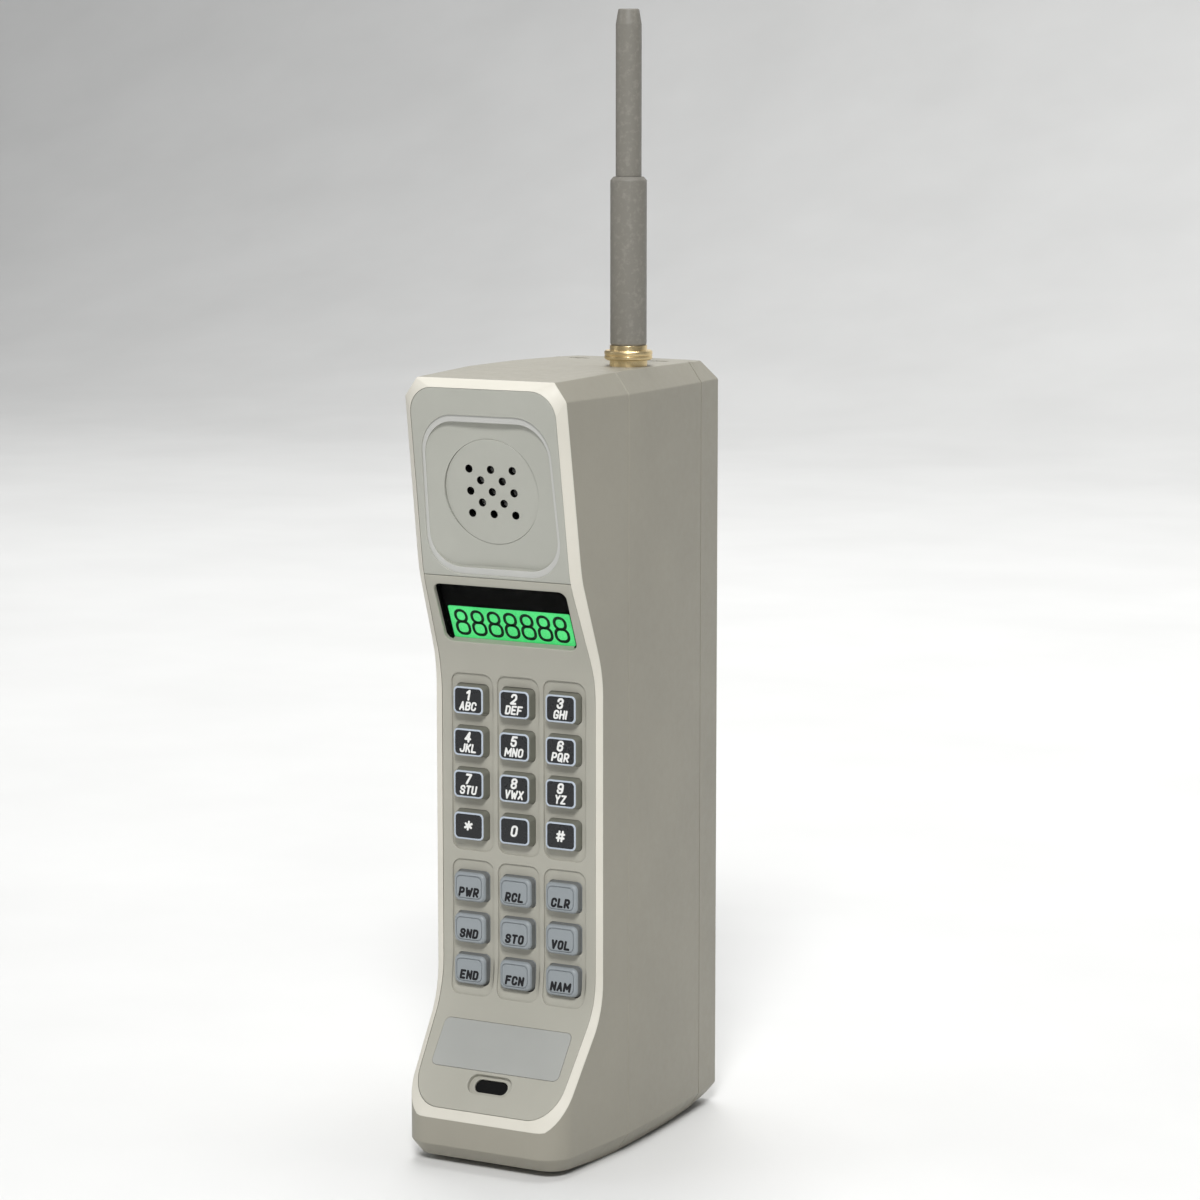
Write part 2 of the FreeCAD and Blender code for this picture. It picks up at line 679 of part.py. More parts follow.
def microphone_grommet():
    """Black moulding that fills the microphone slot, with a sound passage through it."""
    width, height = MIC_SLOT_SIZE
    sunk = 0.2
    back = -3.0
    end_wall = 1.5
    side_wall = 1.0
    outside = rectangle(width - FIT_GAP, height - FIT_GAP, MIC_SLOT_RADIUS - FIT_GAP)
    inside = rectangle(width - 2 * end_wall, height - 2 * side_wall, 0.7)
    plug = plate(outside, back, -MIC_RECESS_DEPTH - sunk)
    return placed(plug.cut(plate(inside, -BEHIND, 0)), MIC_FRAME)


def microphone_capsule():
    """Small round microphone behind the slot, with a sound port in its front."""
    front = -4.4
    back = -7.0
    port_depth = 0.8
    can = rod(3.0, (0, 0, back), (0, 0, front))
    port = rod(0.8, (0, 0, front - port_depth), (0, 0, front + port_depth))
    return placed(can.cut(port), MIC_FRAME)


# ---------------------------------------------------------------- keys

KEY_FLANGE_FRONT = GRIP_Y + PANEL_THICKNESS + PANEL_GAP
KEY_FLANGE_THICKNESS = 0.8
KEY_FLANGE_REACH = (0.7, 0.6)
KEY_STEM_LENGTH = 0.3
KEY_STEM_RADIUS = 1.6
TILE_BORDER = 0.5
TILE_DEPTH = 0.3
GROOVE_INSET = 0.45
GROOVE_WIDTH = 0.2
GROOVE_DEPTH = 0.15


def key_top_cutter(inset, depth, radius):
    """Tool that sinks the middle of a key's top, leaving a border of the given width."""
    width, height = KEY_TOP_SIZE
    top = GRIP_Y - KEY_TOP_Y
    return plate(rectangle(width - 2 * inset, height - 2 * inset, radius), top - depth, top + AHEAD)


def key_cap(x, z, is_number):
    """One key: drafted cap, retaining flange and switch stem; heights are measured out of the grip face."""
    shelf = -CHANNEL_DEPTH
    top = GRIP_Y - KEY_TOP_Y
    back = GRIP_Y - KEY_FLANGE_FRONT
    base = rectangle(*KEY_BASE_SIZE, KEY_BASE_RADIUS)
    cap = tapered_plate(base, rectangle(*KEY_TOP_SIZE, KEY_TOP_RADIUS), shelf, top)
    neck = plate(rectangle(*KEY_BASE_SIZE, KEY_BASE_RADIUS - FIT_GAP), back, shelf)
    flange_size = [side + 2 * reach for side, reach in zip(KEY_BASE_SIZE, KEY_FLANGE_REACH)]
    flange = plate(rectangle(*flange_size, 0.8), back - KEY_FLANGE_THICKNESS, back)
    stem_back = back - KEY_FLANGE_THICKNESS - KEY_STEM_LENGTH
    stem = rod(KEY_STEM_RADIUS, (0, 0, stem_back), (0, 0, back))
    key = fuse_all([cap, neck, flange, stem])
    if is_number:
        key = key.cut(key_top_cutter(TILE_BORDER, TILE_DEPTH, 1.0))
    else:
        groove = key_top_cutter(GROOVE_INSET, GROOVE_DEPTH, 1.0)
        key = key.cut(groove.cut(key_top_cutter(GROOVE_INSET + GROOVE_WIDTH, AHEAD, 0.9)))
    key.translate(Vec(x, z, 0))
    return placed(key, GRIP_FRAME)


MAT_CLEARANCE = 0.15
MAT_FRONT_Y = KEY_FLANGE_FRONT + KEY_FLANGE_THICKNESS + KEY_STEM_LENGTH + KEY_TRAVEL + MAT_CLEARANCE
MAT_HALF_WIDTH = 18.2
MAT_THICKNESS = 1.2
BOARD_THICKNESS = 1.6
KEYPAD_BOARD_Y = MAT_FRONT_Y + MAT_THICKNESS + FIT_GAP
KEYPAD_BOARD_HALF_WIDTH = 19.5
KEYPAD_LOW_Z = 36.8
KEYPAD_HIGH_Z = 123.0
MAT_LOW_Z = KEYPAD_LOW_Z + 3.0
MAT_HIGH_Z = KEYPAD_HIGH_Z - 4.5


def key_mat():
    """Rubber switch sheet under all the keys."""
    y_range = (MAT_FRONT_Y, MAT_FRONT_Y + MAT_THICKNESS)
    return block((-MAT_HALF_WIDTH, MAT_HALF_WIDTH), y_range, (MAT_LOW_Z, MAT_HIGH_Z))


# ---------------------------------------------------------------- screws and boards

BOARD_SCREW_X = 17.0
BOARD_SCREW_ROWS = (KEYPAD_LOW_Z + 0.9, KEYPAD_HIGH_Z - 1.8)
SCREW_RADIUS = 1.0
SCREW_LENGTH = 4.0
BOARD_POST_RADIUS = 2.0
SHELL_SCREW_X = 18.0
SHELL_SCREW_ROWS = (10.5, 172.0)
SHELL_SCREW_RADIUS = 1.5
SHELL_SCREW_HEAD_Y = PACK_FRONT_Y - 2.4
SHELL_SCREW_HEAD_RADIUS = 3.0
SHELL_BOSS_RADIUS = 3.4
SHELL_BORE_FRONT_Y = -6.0
BACK_BOARD_HALF_WIDTH = 20.0
BACK_BOARD_LOW_Z = 18.0
BACK_BOARD_HIGH_Z = 150.0
LOGIC_BOARD_Y = 4.0
RF_BOARD_Y = 22.0
SPACER_X = 17.0
SPACER_ROWS = (22.0, 146.0)
SPACER_RADIUS = 2.4
SPACER_BORE_RADIUS = 1.2


def four_spots(x, rows):
    """The four corners of a screw pattern."""
    return [(sign * x, z) for z in rows for sign in (-1, 1)]


def keypad_board():
    """Switch board with gold pads facing the mat."""
    y_range = (KEYPAD_BOARD_Y, KEYPAD_BOARD_Y + BOARD_THICKNESS)
    x_range = (-KEYPAD_BOARD_HALF_WIDTH, KEYPAD_BOARD_HALF_WIDTH)
    board = block(x_range, y_range, (KEYPAD_LOW_Z - 2, KEYPAD_HIGH_Z))
    holes = [
        rod(SCREW_RADIUS + RUNNING_GAP, (x, GRIP_Y, z), (x, 0, z))
        for x, z in four_spots(BOARD_SCREW_X, BOARD_SCREW_ROWS)
    ]
    return board.cut(holes)


def board_screws():
    """Four slotted screws that hold the switch board to the front shell."""
    back_y = KEYPAD_BOARD_Y + BOARD_THICKNESS
    head_radius = 1.9
    head_height = 1.2
    slot_depth = 0.5
    slot_half = 0.25
    screws = []
    for x, z in four_spots(BOARD_SCREW_X, BOARD_SCREW_ROWS):
        head_y = back_y + head_height
        shank = rod(SCREW_RADIUS, (x, back_y - SCREW_LENGTH, z), (x, back_y, z))
        head = rod(head_radius, (x, back_y, z), (x, head_y, z))
        slot_x = (x - 2 * head_radius, x + 2 * head_radius)
        slot = block(slot_x, (head_y - slot_depth, head_y + 1), (z - slot_half, z + slot_half))
        screws.append(fuse_all([shank, head]).cut(slot))
    return Part.makeCompound(screws)


def component_row(board_y, sizes, low_z):
    """Chips standing on the back of a board, as blocks (x, z offset, width, height, thickness)."""
    return [
        block((x - w / 2, x + w / 2), (board_y, board_y + t), (low_z + dz - h / 2, low_z + dz + h / 2))
        for x, dz, w, h, t in sizes
    ]


def back_board(y):
    """Bare board with four spacer holes."""
    x_range = (-BACK_BOARD_HALF_WIDTH, BACK_BOARD_HALF_WIDTH)
    board = block(x_range, (y, y + BOARD_THICKNESS), (BACK_BOARD_LOW_Z, BACK_BOARD_HIGH_Z))
    holes = [
        rod(SPACER_BORE_RADIUS, (x, y, z), (x, y + BOARD_THICKNESS, z))
        for x, z in four_spots(SPACER_X, SPACER_ROWS)
    ]
    return board.cut(holes)


def logic_board():
    """Control board with its processor and memory chips."""
    chips = component_row(
        LOGIC_BOARD_Y + BOARD_THICKNESS,
        [
            (-6, 30, 18, 18, 3.0),
            (9, 32, 8, 16, 2.4),
            (-6, 62, 16, 12, 2.6),
            (8, 64, 8, 16, 2.4),
            (0, 98, 22, 10, 3.2),
        ],
        BACK_BOARD_LOW_Z,
    )
    return fuse_all([back_board(LOGIC_BOARD_Y)] + chips)


def rf_board():
    """Radio board with its larger can-shaped parts."""
    parts = component_row(
        RF_BOARD_Y + BOARD_THICKNESS,
        [(-8, 24, 14, 20, 6.0), (9, 24, 12, 14, 5.0), (0, 60, 26, 18, 4.0)],
        BACK_BOARD_LOW_Z,
    )
    return fuse_all([back_board(RF_BOARD_Y)] + parts)


def shield_cans():
    """Two open-backed metal cans on the front of the radio board."""
    half = 15.0
    sheet = 0.6
    front_y = RF_BOARD_Y - 8.0
    cans = []
    for low_z, high_z in ((30.0, 78.0), (84.0, 138.0)):
        outside = block((-half, half), (front_y, RF_BOARD_Y), (low_z, high_z))
        inner_x = (sheet - half, half - sheet)
        inside = block(inner_x, (front_y + sheet, RF_BOARD_Y), (low_z + sheet, high_z - sheet))
        cans.append(outside.cut(inside))
    return Part.makeCompound(cans)


def board_spacers():
    """Four tubes between the control board and the radio board."""
    tubes = []
    for x, z in four_spots(SPACER_X, SPACER_ROWS):
        start = (x, LOGIC_BOARD_Y + BOARD_THICKNESS, z)
        end = (x, RF_BOARD_Y, z)
        tubes.append(rod(SPACER_RADIUS, start, end).cut(rod(SPACER_BORE_RADIUS, start, end)))
    return Part.makeCompound(tubes)


def duplexer_filter():
    """Machined cavity filter above the boards, with tuning screws on its front."""
    front_y = 6.0
    tuner_radius = 1.4
    tuner_length = 2.5
    body = block((-10, 10), (front_y, 34), (153, 179))
    tuners = [
        rod(tuner_radius, (x, front_y - tuner_length, z), (x, front_y, z))
        for x in (-6, 0, 6)
        for z in (159, 172)
    ]
    return fuse_all([body] + tuners)


# ---------------------------------------------------------------- shells

RAIL_X = 11.5
RAIL_LOW_Z = 22.0
RAIL_NECK_HALF = 1.6
RAIL_HEAD_HALF = 2.8
RAIL_NECK_DEPTH = 1.1
RAIL_HEAD_DEPTH = 1.1
RAIL_TOP_Z = SHELL_SCREW_ROWS[1] - 6
CONTACT_X = 4.0
CONTACT_HALF_WIDTH = 1.5
CONTACT_LOW_Z = 24.0
CONTACT_HIGH_Z = 40.0


def rail_slots():
    """Two T-shaped slots down the rear wall, open at the top, in which the battery pack's rails run."""
    slots = []
    low = RAIL_LOW_Z - FIT_GAP
    for x in (-RAIL_X, RAIL_X):
        neck_y = PACK_FRONT_Y - RAIL_NECK_DEPTH + FIT_GAP
        head_y = PACK_FRONT_Y - RAIL_NECK_DEPTH - RAIL_HEAD_DEPTH - FIT_GAP
        neck_half = RAIL_NECK_HALF + FIT_GAP
        head_half = RAIL_HEAD_HALF + FIT_GAP
        slots.append(block((x - neck_half, x + neck_half), (head_y, PACK_FRONT_Y + 1), (low, ABOVE_Z)))
        slots.append(block((x - head_half, x + head_half), (head_y, neck_y), (low, ABOVE_Z)))
    return slots


def front_housing(body, cavity):
    """Front shell: head, grip and chin, pocketed for the two front panels."""
    shell = body.cut(cavity).common(slice_of(FAR_FRONT_Y, 0))
    pocket = front_band(
        PANEL_EDGE_FOOT_Z,
        PANEL_EDGE_TOP_Z,
        PANEL_THICKNESS + PANEL_GAP,
        PANEL_CORNER_FOOT,
        PANEL_CORNER_TOP,
        -PANEL_GAP,
    )
    key_half = KEY_COLUMN_PITCH + KEY_BASE_SIZE[0] / 2 + 1.7
    key_window = block((-key_half, key_half), (GRIP_Y, MAT_FRONT_Y), (MAT_LOW_Z + 0.5, MAT_HIGH_Z - 0.5))
    head_window_size = [side + 0.6 for side in EAR_BLOCK_SIZE]
    head_window = plate(rectangle(*head_window_size, EAR_BLOCK_RADIUS), -BEHIND, 0)
    display_hole = plate(rectangle(*WINDOW_SIZE, WINDOW_RADIUS), -BEHIND, 0)
    mic_hole = plate(rectangle(*MIC_SLOT_SIZE, MIC_SLOT_RADIUS), -BEHIND, 0)
    openings = [
        pocket,
        key_window,
        placed(head_window, HEAD_FRAME),
        placed(display_hole, DISPLAY_FRAME),
        placed(mic_hole, MIC_FRAME),
    ]
    posts = []
    bores = []
    bore_depth = 2.5
    for x, z in four_spots(BOARD_SCREW_X, BOARD_SCREW_ROWS):
        posts.append(rod(BOARD_POST_RADIUS, (x, GRIP_Y, z), (x, KEYPAD_BOARD_Y, z)))
        bores.append(rod(SCREW_RADIUS + RUNNING_GAP, (x, KEYPAD_BOARD_Y - bore_depth, z), (x, 0, z)))
    for x, z in four_spots(SHELL_SCREW_X, SHELL_SCREW_ROWS):
        posts.append(rod(SHELL_BOSS_RADIUS, (x, max(CHIN_Y, panel_y(z)), z), (x, 0, z)))
        bores.append(rod(SHELL_SCREW_RADIUS + RUNNING_GAP, (x, SHELL_BORE_FRONT_Y, z), (x, 1, z)))
    posts = [post.common(body) for post in posts]
    return fuse_all([shell] + posts).cut(openings + bores)


def rear_housing(body, cavity):
    """Rear shell, closed behind by the wall that carries the battery pack."""
    shell = body.cut(cavity).common(slice_of(0, PACK_FRONT_Y))
    posts = []
    bores = rail_slots()
    for x, z in four_spots(SHELL_SCREW_X, SHELL_SCREW_ROWS):
        posts.append(rod(SHELL_BOSS_RADIUS, (x, 0, z), (x, REAR_WALL_Y + 1, z)))
        bores.append(rod(SHELL_SCREW_RADIUS + FIT_GAP, (x, 0, z), (x, PACK_FRONT_Y, z)))
        seat_y = SHELL_SCREW_HEAD_Y - FIT_GAP
        bores.append(rod(SHELL_SCREW_HEAD_RADIUS + FIT_GAP, (x, seat_y, z), (x, PACK_FRONT_Y, z)))
    for x, z in four_spots(SPACER_X, SPACER_ROWS):
        posts.append(rod(SPACER_RADIUS, (x, RF_BOARD_Y + BOARD_THICKNESS, z), (x, REAR_WALL_Y + 1, z)))
    for x in (-CONTACT_X, CONTACT_X):
        x_range = (x - CONTACT_HALF_WIDTH, x + CONTACT_HALF_WIDTH)
        bores.append(block(x_range, (REAR_WALL_Y, PACK_FRONT_Y), (CONTACT_LOW_Z, CONTACT_HIGH_Z)))
    bores.append(antenna_rod(SOCKET_BODY_RADIUS + SOCKET_GAP, -SOCKET_DEPTH, SOCKET_RISE))
    posts = [post.common(body) for post in posts]
    return fuse_all([shell] + posts).cut(bores)


def housing_screws():
    """Four long screws through the rear shell into the front shell, hidden by the battery pack."""
    screws = []
    for x, z in four_spots(SHELL_SCREW_X, SHELL_SCREW_ROWS):
        shank = rod(SHELL_SCREW_RADIUS, (x, SHELL_BORE_FRONT_Y + 0.5, z), (x, SHELL_SCREW_HEAD_Y, z))
        head_top_y = SHELL_SCREW_HEAD_Y + 1.8
        head = rod(SHELL_SCREW_HEAD_RADIUS, (x, SHELL_SCREW_HEAD_Y, z), (x, head_top_y, z))
        slots = [
            block((x - reach_x, x + reach_x), (head_top_y - 0.9, PACK_FRONT_Y), (z - reach_z, z + reach_z))
            for reach_x, reach_z in ((2.0, 0.4), (0.4, 2.0))
        ]
        screws.append(fuse_all([shank, head]).cut(slots))
    return Part.makeCompound(screws)


# ---------------------------------------------------------------- antenna

def antenna_cone(low_radius, high_radius, low_rise, high_rise):
    """Tapered bar on the antenna's axis."""
    base = Vec(ANTENNA_X, ANTENNA_Y, TOP_SEAM_Z + low_rise)
    return Part.makeCone(low_radius, high_radius, high_rise - low_rise, base, Z_AXIS)


def antenna_socket():
    """Brass socket in the top of the rear shell: outer ring, barrel and a nut inside."""
    ring = antenna_rod(SOCKET_RADIUS, 0, SOCKET_RISE)
    barrel = antenna_rod(SOCKET_BODY_RADIUS, -SOCKET_DEPTH, 0)
    nut_top = -FLOOR_THICKNESS - FIT_GAP
    nut = antenna_rod(SOCKET_NUT_RADIUS, nut_top - SOCKET_NUT_HEIGHT, nut_top)
    bore = antenna_rod(STUD_RADIUS + RUNNING_GAP, -STUD_LENGTH - 0.5, SOCKET_RISE)
    return fuse_all([ring, barrel, nut]).cut(bore)


def antenna_collar():
    """Brass collar with the stud that screws into the socket."""
    collar_top = SOCKET_RISE + COLLAR_HEIGHT
    flange = antenna_rod(COLLAR_RADIUS, SOCKET_RISE, collar_top)
    neck = antenna_rod(NECK_RADIUS, collar_top, NECK_TOP_RISE)
    stud = antenna_rod(STUD_RADIUS, SOCKET_RISE - STUD_LENGTH - 1, SOCKET_RISE)
    bore = antenna_rod(CORE_RADIUS + RUNNING_GAP, SOCKET_RISE - CORE_SOCKET, NECK_TOP_RISE)
    return fuse_all([flange, neck, stud]).cut(bore)


def antenna_core():
    """Steel core that carries both rubber sections."""
    return antenna_rod(CORE_RADIUS, SOCKET_RISE - CORE_SOCKET + FIT_GAP, WHIP_SHOULDER_RISE)


def antenna_sleeve():
    """Thick lower section with a small chamfered shoulder."""
    shoulder = SLEEVE_TOP_RISE - 0.9
    tube = antenna_rod(SLEEVE_RADIUS, NECK_TOP_RISE, shoulder)
    top = antenna_cone(SLEEVE_RADIUS, WHIP_RADIUS + 0.5, shoulder, SLEEVE_TOP_RISE)
    return fuse_all([tube, top]).cut(antenna_rod(CORE_RADIUS, NECK_TOP_RISE, SLEEVE_TOP_RISE))


def antenna_whip():
    """Thin upper section with a tapered tip."""
    tube = antenna_rod(WHIP_RADIUS, SLEEVE_TOP_RISE, WHIP_SHOULDER_RISE)
    tip = antenna_cone(WHIP_RADIUS, WHIP_TIP_RADIUS, WHIP_SHOULDER_RISE, WHIP_TOP_RISE)
    return fuse_all([tube, tip]).cut(antenna_rod(CORE_RADIUS, SLEEVE_TOP_RISE, WHIP_SHOULDER_RISE))


# ---------------------------------------------------------------- battery pack

PACK_FACE_Y = PACK_FRONT_Y + FIT_GAP
TRAY_BACK_Y = PACK_FACE_Y + 1.6
PACK_WALL = 1.4
PACK_END_WALL = 1.6
PACK_FLOOR_Z = 2.6
PACK_ROOF_THICKNESS = 2.2
CELL_RADIUS = 4.9
CELL_LENGTH = 66.5
CELL_PITCH = 11.0
CELL_ROWS = (10.5, 80.0)
CELL_Y = TRAY_BACK_Y + CELL_RADIUS
POLE_RADIUS = 1.8
POLE_HEIGHT = 0.8
LINK_THICKNESS = 0.3
PAD_THICKNESS = 0.5


def battery_cover(body):
    """Back shell of the battery pack."""
    pack = body.common(slice_of(TRAY_BACK_Y, TAIL_Y))
    room = plan_stack(PACK_WALL, PACK_FLOOR_Z, TOP_BACK_Z - PACK_ROOF_THICKNESS)
    room = room.common(side_prism(side_outline(0, floor=PACK_END_WALL, roof=PACK_END_WALL)))
    return pack.cut(room)


def pad_blocks(gap):
    """Room of the two flush contact pads in the pack's front, drawn in by a gap."""
    half = CONTACT_HALF_WIDTH - gap / 2
    y_range = (PACK_FACE_Y, PACK_FACE_Y + PAD_THICKNESS)
    z_range = (CONTACT_LOW_Z + gap, CONTACT_HIGH_Z - gap)
    return [block((x - half, x + half), y_range, z_range) for x in (-CONTACT_X, CONTACT_X)]


def battery_tray(body):
    """Front plate of the battery pack with the two rails that run in the rear shell."""
    tray = body.common(slice_of(PACK_FACE_Y, TRAY_BACK_Y))
    rails = []
    head_y = PACK_FRONT_Y - RAIL_NECK_DEPTH - RAIL_HEAD_DEPTH
    for x in (-RAIL_X, RAIL_X):
        neck_x = (x - RAIL_NECK_HALF, x + RAIL_NECK_HALF)
        head_x = (x - RAIL_HEAD_HALF, x + RAIL_HEAD_HALF)
        rails.append(block(neck_x, (head_y, TRAY_BACK_Y), (RAIL_LOW_Z, RAIL_TOP_Z)))
        rails.append(block(head_x, (head_y, head_y + RAIL_HEAD_DEPTH), (RAIL_LOW_Z, RAIL_TOP_Z)))
    return fuse_all([tray] + rails).cut(pad_blocks(0.0))


def cell_spots():
    """Column x and foot z of each battery cell."""
    return [(column * CELL_PITCH, z) for z in CELL_ROWS for column in (-1, 0, 1)]


def battery_cells():
    """Six round cells, each with a small raised pole."""
    cells = []
    for x, z in cell_spots():
        top_z = z + CELL_LENGTH
        can = rod(CELL_RADIUS, (x, CELL_Y, z), (x, CELL_Y, top_z))
        pole = rod(POLE_RADIUS, (x, CELL_Y, top_z), (x, CELL_Y, top_z + POLE_HEIGHT))
        cells.append(fuse_all([can, pole]))
    return Part.makeCompound(cells)


def battery_links():
    """Nickel strips that join the cells top and bottom."""
    half_length = CELL_PITCH + 3
    half_width_y = 2.0
    strips = []
    for z in CELL_ROWS:
        below = z - RUNNING_GAP - LINK_THICKNESS
        above = z + CELL_LENGTH + POLE_HEIGHT + RUNNING_GAP
        for low in (below, above):
            y_range = (CELL_Y - half_width_y, CELL_Y + half_width_y)
            strips.append(block((-half_length, half_length), y_range, (low, low + LINK_THICKNESS)))
    return Part.makeCompound(strips)


def battery_pads():
    """Two flush contact pads on the front of the pack."""
    return Part.makeCompound(pad_blocks(FIT_GAP))


def phone_contacts():
    """Two bent contact springs set in the rear wall, meeting the pack's pads."""
    contacts = []
    half = 1.2
    blade_back_y = PACK_FRONT_Y - 0.4
    blade_thickness = 0.6
    foot_front_y = REAR_WALL_Y - 1.5
    foot_thickness = 0.8
    bump_radius = 0.9
    bump_y = PACK_FACE_Y - bump_radius - 0.02
    bump_z = 33.0
    for x in (-CONTACT_X, CONTACT_X):
        x_range = (x - half, x + half)
        foot = block(x_range, (foot_front_y, blade_back_y), (CONTACT_LOW_Z, CONTACT_LOW_Z + foot_thickness))
        blade_y = (blade_back_y - blade_thickness, blade_back_y)
        blade = block(x_range, blade_y, (CONTACT_LOW_Z, CONTACT_HIGH_Z - 1.5))
        bump = rod(bump_radius, (x_range[0], bump_y, bump_z), (x_range[1], bump_y, bump_z))
        contacts.append(fuse_all([foot, blade, bump]))
    return Part.makeCompound(contacts)


# ---------------------------------------------------------------- assembly

def build_nodes():
    """Every node of the phone, by name."""
    body = outer_body()
    cavity = inner_cavity()
    nodes = {
        "front_housing": front_housing(body, cavity),
        "rear_housing": rear_housing(body, cavity),
        "front_panel": front_panel(),
        "earpiece_panel": earpiece_panel(),
        "earpiece_grille": earpiece_grille(),
        "receiver_gasket": receiver_gasket(),
        "receiver_capsule": receiver_capsule(),
        "display_window": display_window(),
        "display_module": display_module(),
        "display_glass": display_glass(),
        "name_plate": name_plate(),
        "microphone_grommet": microphone_grommet(),
        "microphone_capsule": microphone_capsule(),
        "key_mat": key_mat(),
        "keypad_board": keypad_board(),
        "board_screws": board_screws(),
        "logic_board": logic_board(),
        "rf_board": rf_board(),
        "shield_cans": shield_cans(),
        "board_spacers": board_spacers(),
        "duplexer_filter": duplexer_filter(),
        "housing_screws": housing_screws(),
        "antenna_socket": antenna_socket(),
        "antenna_collar": antenna_collar(),
        "antenna_core": antenna_core(),
        "antenna_sleeve": antenna_sleeve(),
        "antenna_whip": antenna_whip(),
        "battery_cover": battery_cover(body),
        "battery_tray": battery_tray(body),
        "battery_cells": battery_cells(),
        "battery_links": battery_links(),
        "battery_pads": battery_pads(),
        "phone_contacts": phone_contacts(),
    }
    for index, (name, x, z) in enumerate(key_positions()):
        nodes[name] = key_cap(x, z, is_number=index < 12)
    return nodes


def main():
    os.makedirs("parts", exist_ok=True)
    for name, shape in build_nodes().items():
        shape.exportStep(f"parts/{name}.step")
        box = shape.BoundBox
        extent = f"{box.XLength:.1f} x {box.YLength:.1f} x {box.ZLength:.1f}"
        print(f"{name}: {len(shape.Solids)} solids, valid {shape.isValid()}, {extent} mm")


main()
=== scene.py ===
"""Studio scene of the brick telephone: refined meshes, procedural materials, light and camera.

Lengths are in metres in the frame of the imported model: X to the right as seen from the keypad, the keypad
faces -Y, Z up. MM turns millimetres into metres.
"""

import json
import math

import bmesh
import bpy
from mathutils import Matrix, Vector
from mathutils.geometry import delaunay_2d_cdt


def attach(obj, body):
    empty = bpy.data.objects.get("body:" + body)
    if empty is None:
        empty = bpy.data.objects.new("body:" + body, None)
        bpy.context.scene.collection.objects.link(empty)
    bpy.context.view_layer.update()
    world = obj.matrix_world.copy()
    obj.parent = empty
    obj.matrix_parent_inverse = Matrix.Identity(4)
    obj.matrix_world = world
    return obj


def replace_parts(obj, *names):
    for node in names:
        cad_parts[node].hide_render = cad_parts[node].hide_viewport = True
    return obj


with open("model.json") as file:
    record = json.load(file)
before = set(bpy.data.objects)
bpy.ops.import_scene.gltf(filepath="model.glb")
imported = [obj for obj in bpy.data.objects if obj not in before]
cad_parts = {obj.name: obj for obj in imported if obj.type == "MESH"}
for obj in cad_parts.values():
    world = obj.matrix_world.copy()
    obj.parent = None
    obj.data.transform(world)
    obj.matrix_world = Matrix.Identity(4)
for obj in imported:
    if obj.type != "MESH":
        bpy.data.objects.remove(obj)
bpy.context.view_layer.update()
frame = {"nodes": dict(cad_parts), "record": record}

MM = 0.001
NODES = frame["nodes"]
BODY_OF_NODE = {
    node: body
    for body, members in frame["record"]["behaviour"]["bodies"].items()
    for node in members
}
SLOT_OF_NODE = {part["node"]: part["material_slot"] for part in frame["record"]["subparts"]}

NUMBER_LEGENDS = {
    "1": "ABC", "2": "DEF", "3": "GHI", "4": "JKL", "5": "MNO", "6": "PQR",
    "7": "STU", "8": "VWX", "9": "YZ", "star": "", "0": "", "hash": "",
}
NUMBER_MARKS = {"star": "*", "hash": "#"}
FUNCTION_LEGENDS = {
    "power": "PWR", "recall": "RCL", "clear": "CLR", "send": "SND", "store": "STO", "volume": "VOL",
    "end": "END", "function": "FCN", "names": "NAM",
}


# ---------------------------------------------------------------- node helpers

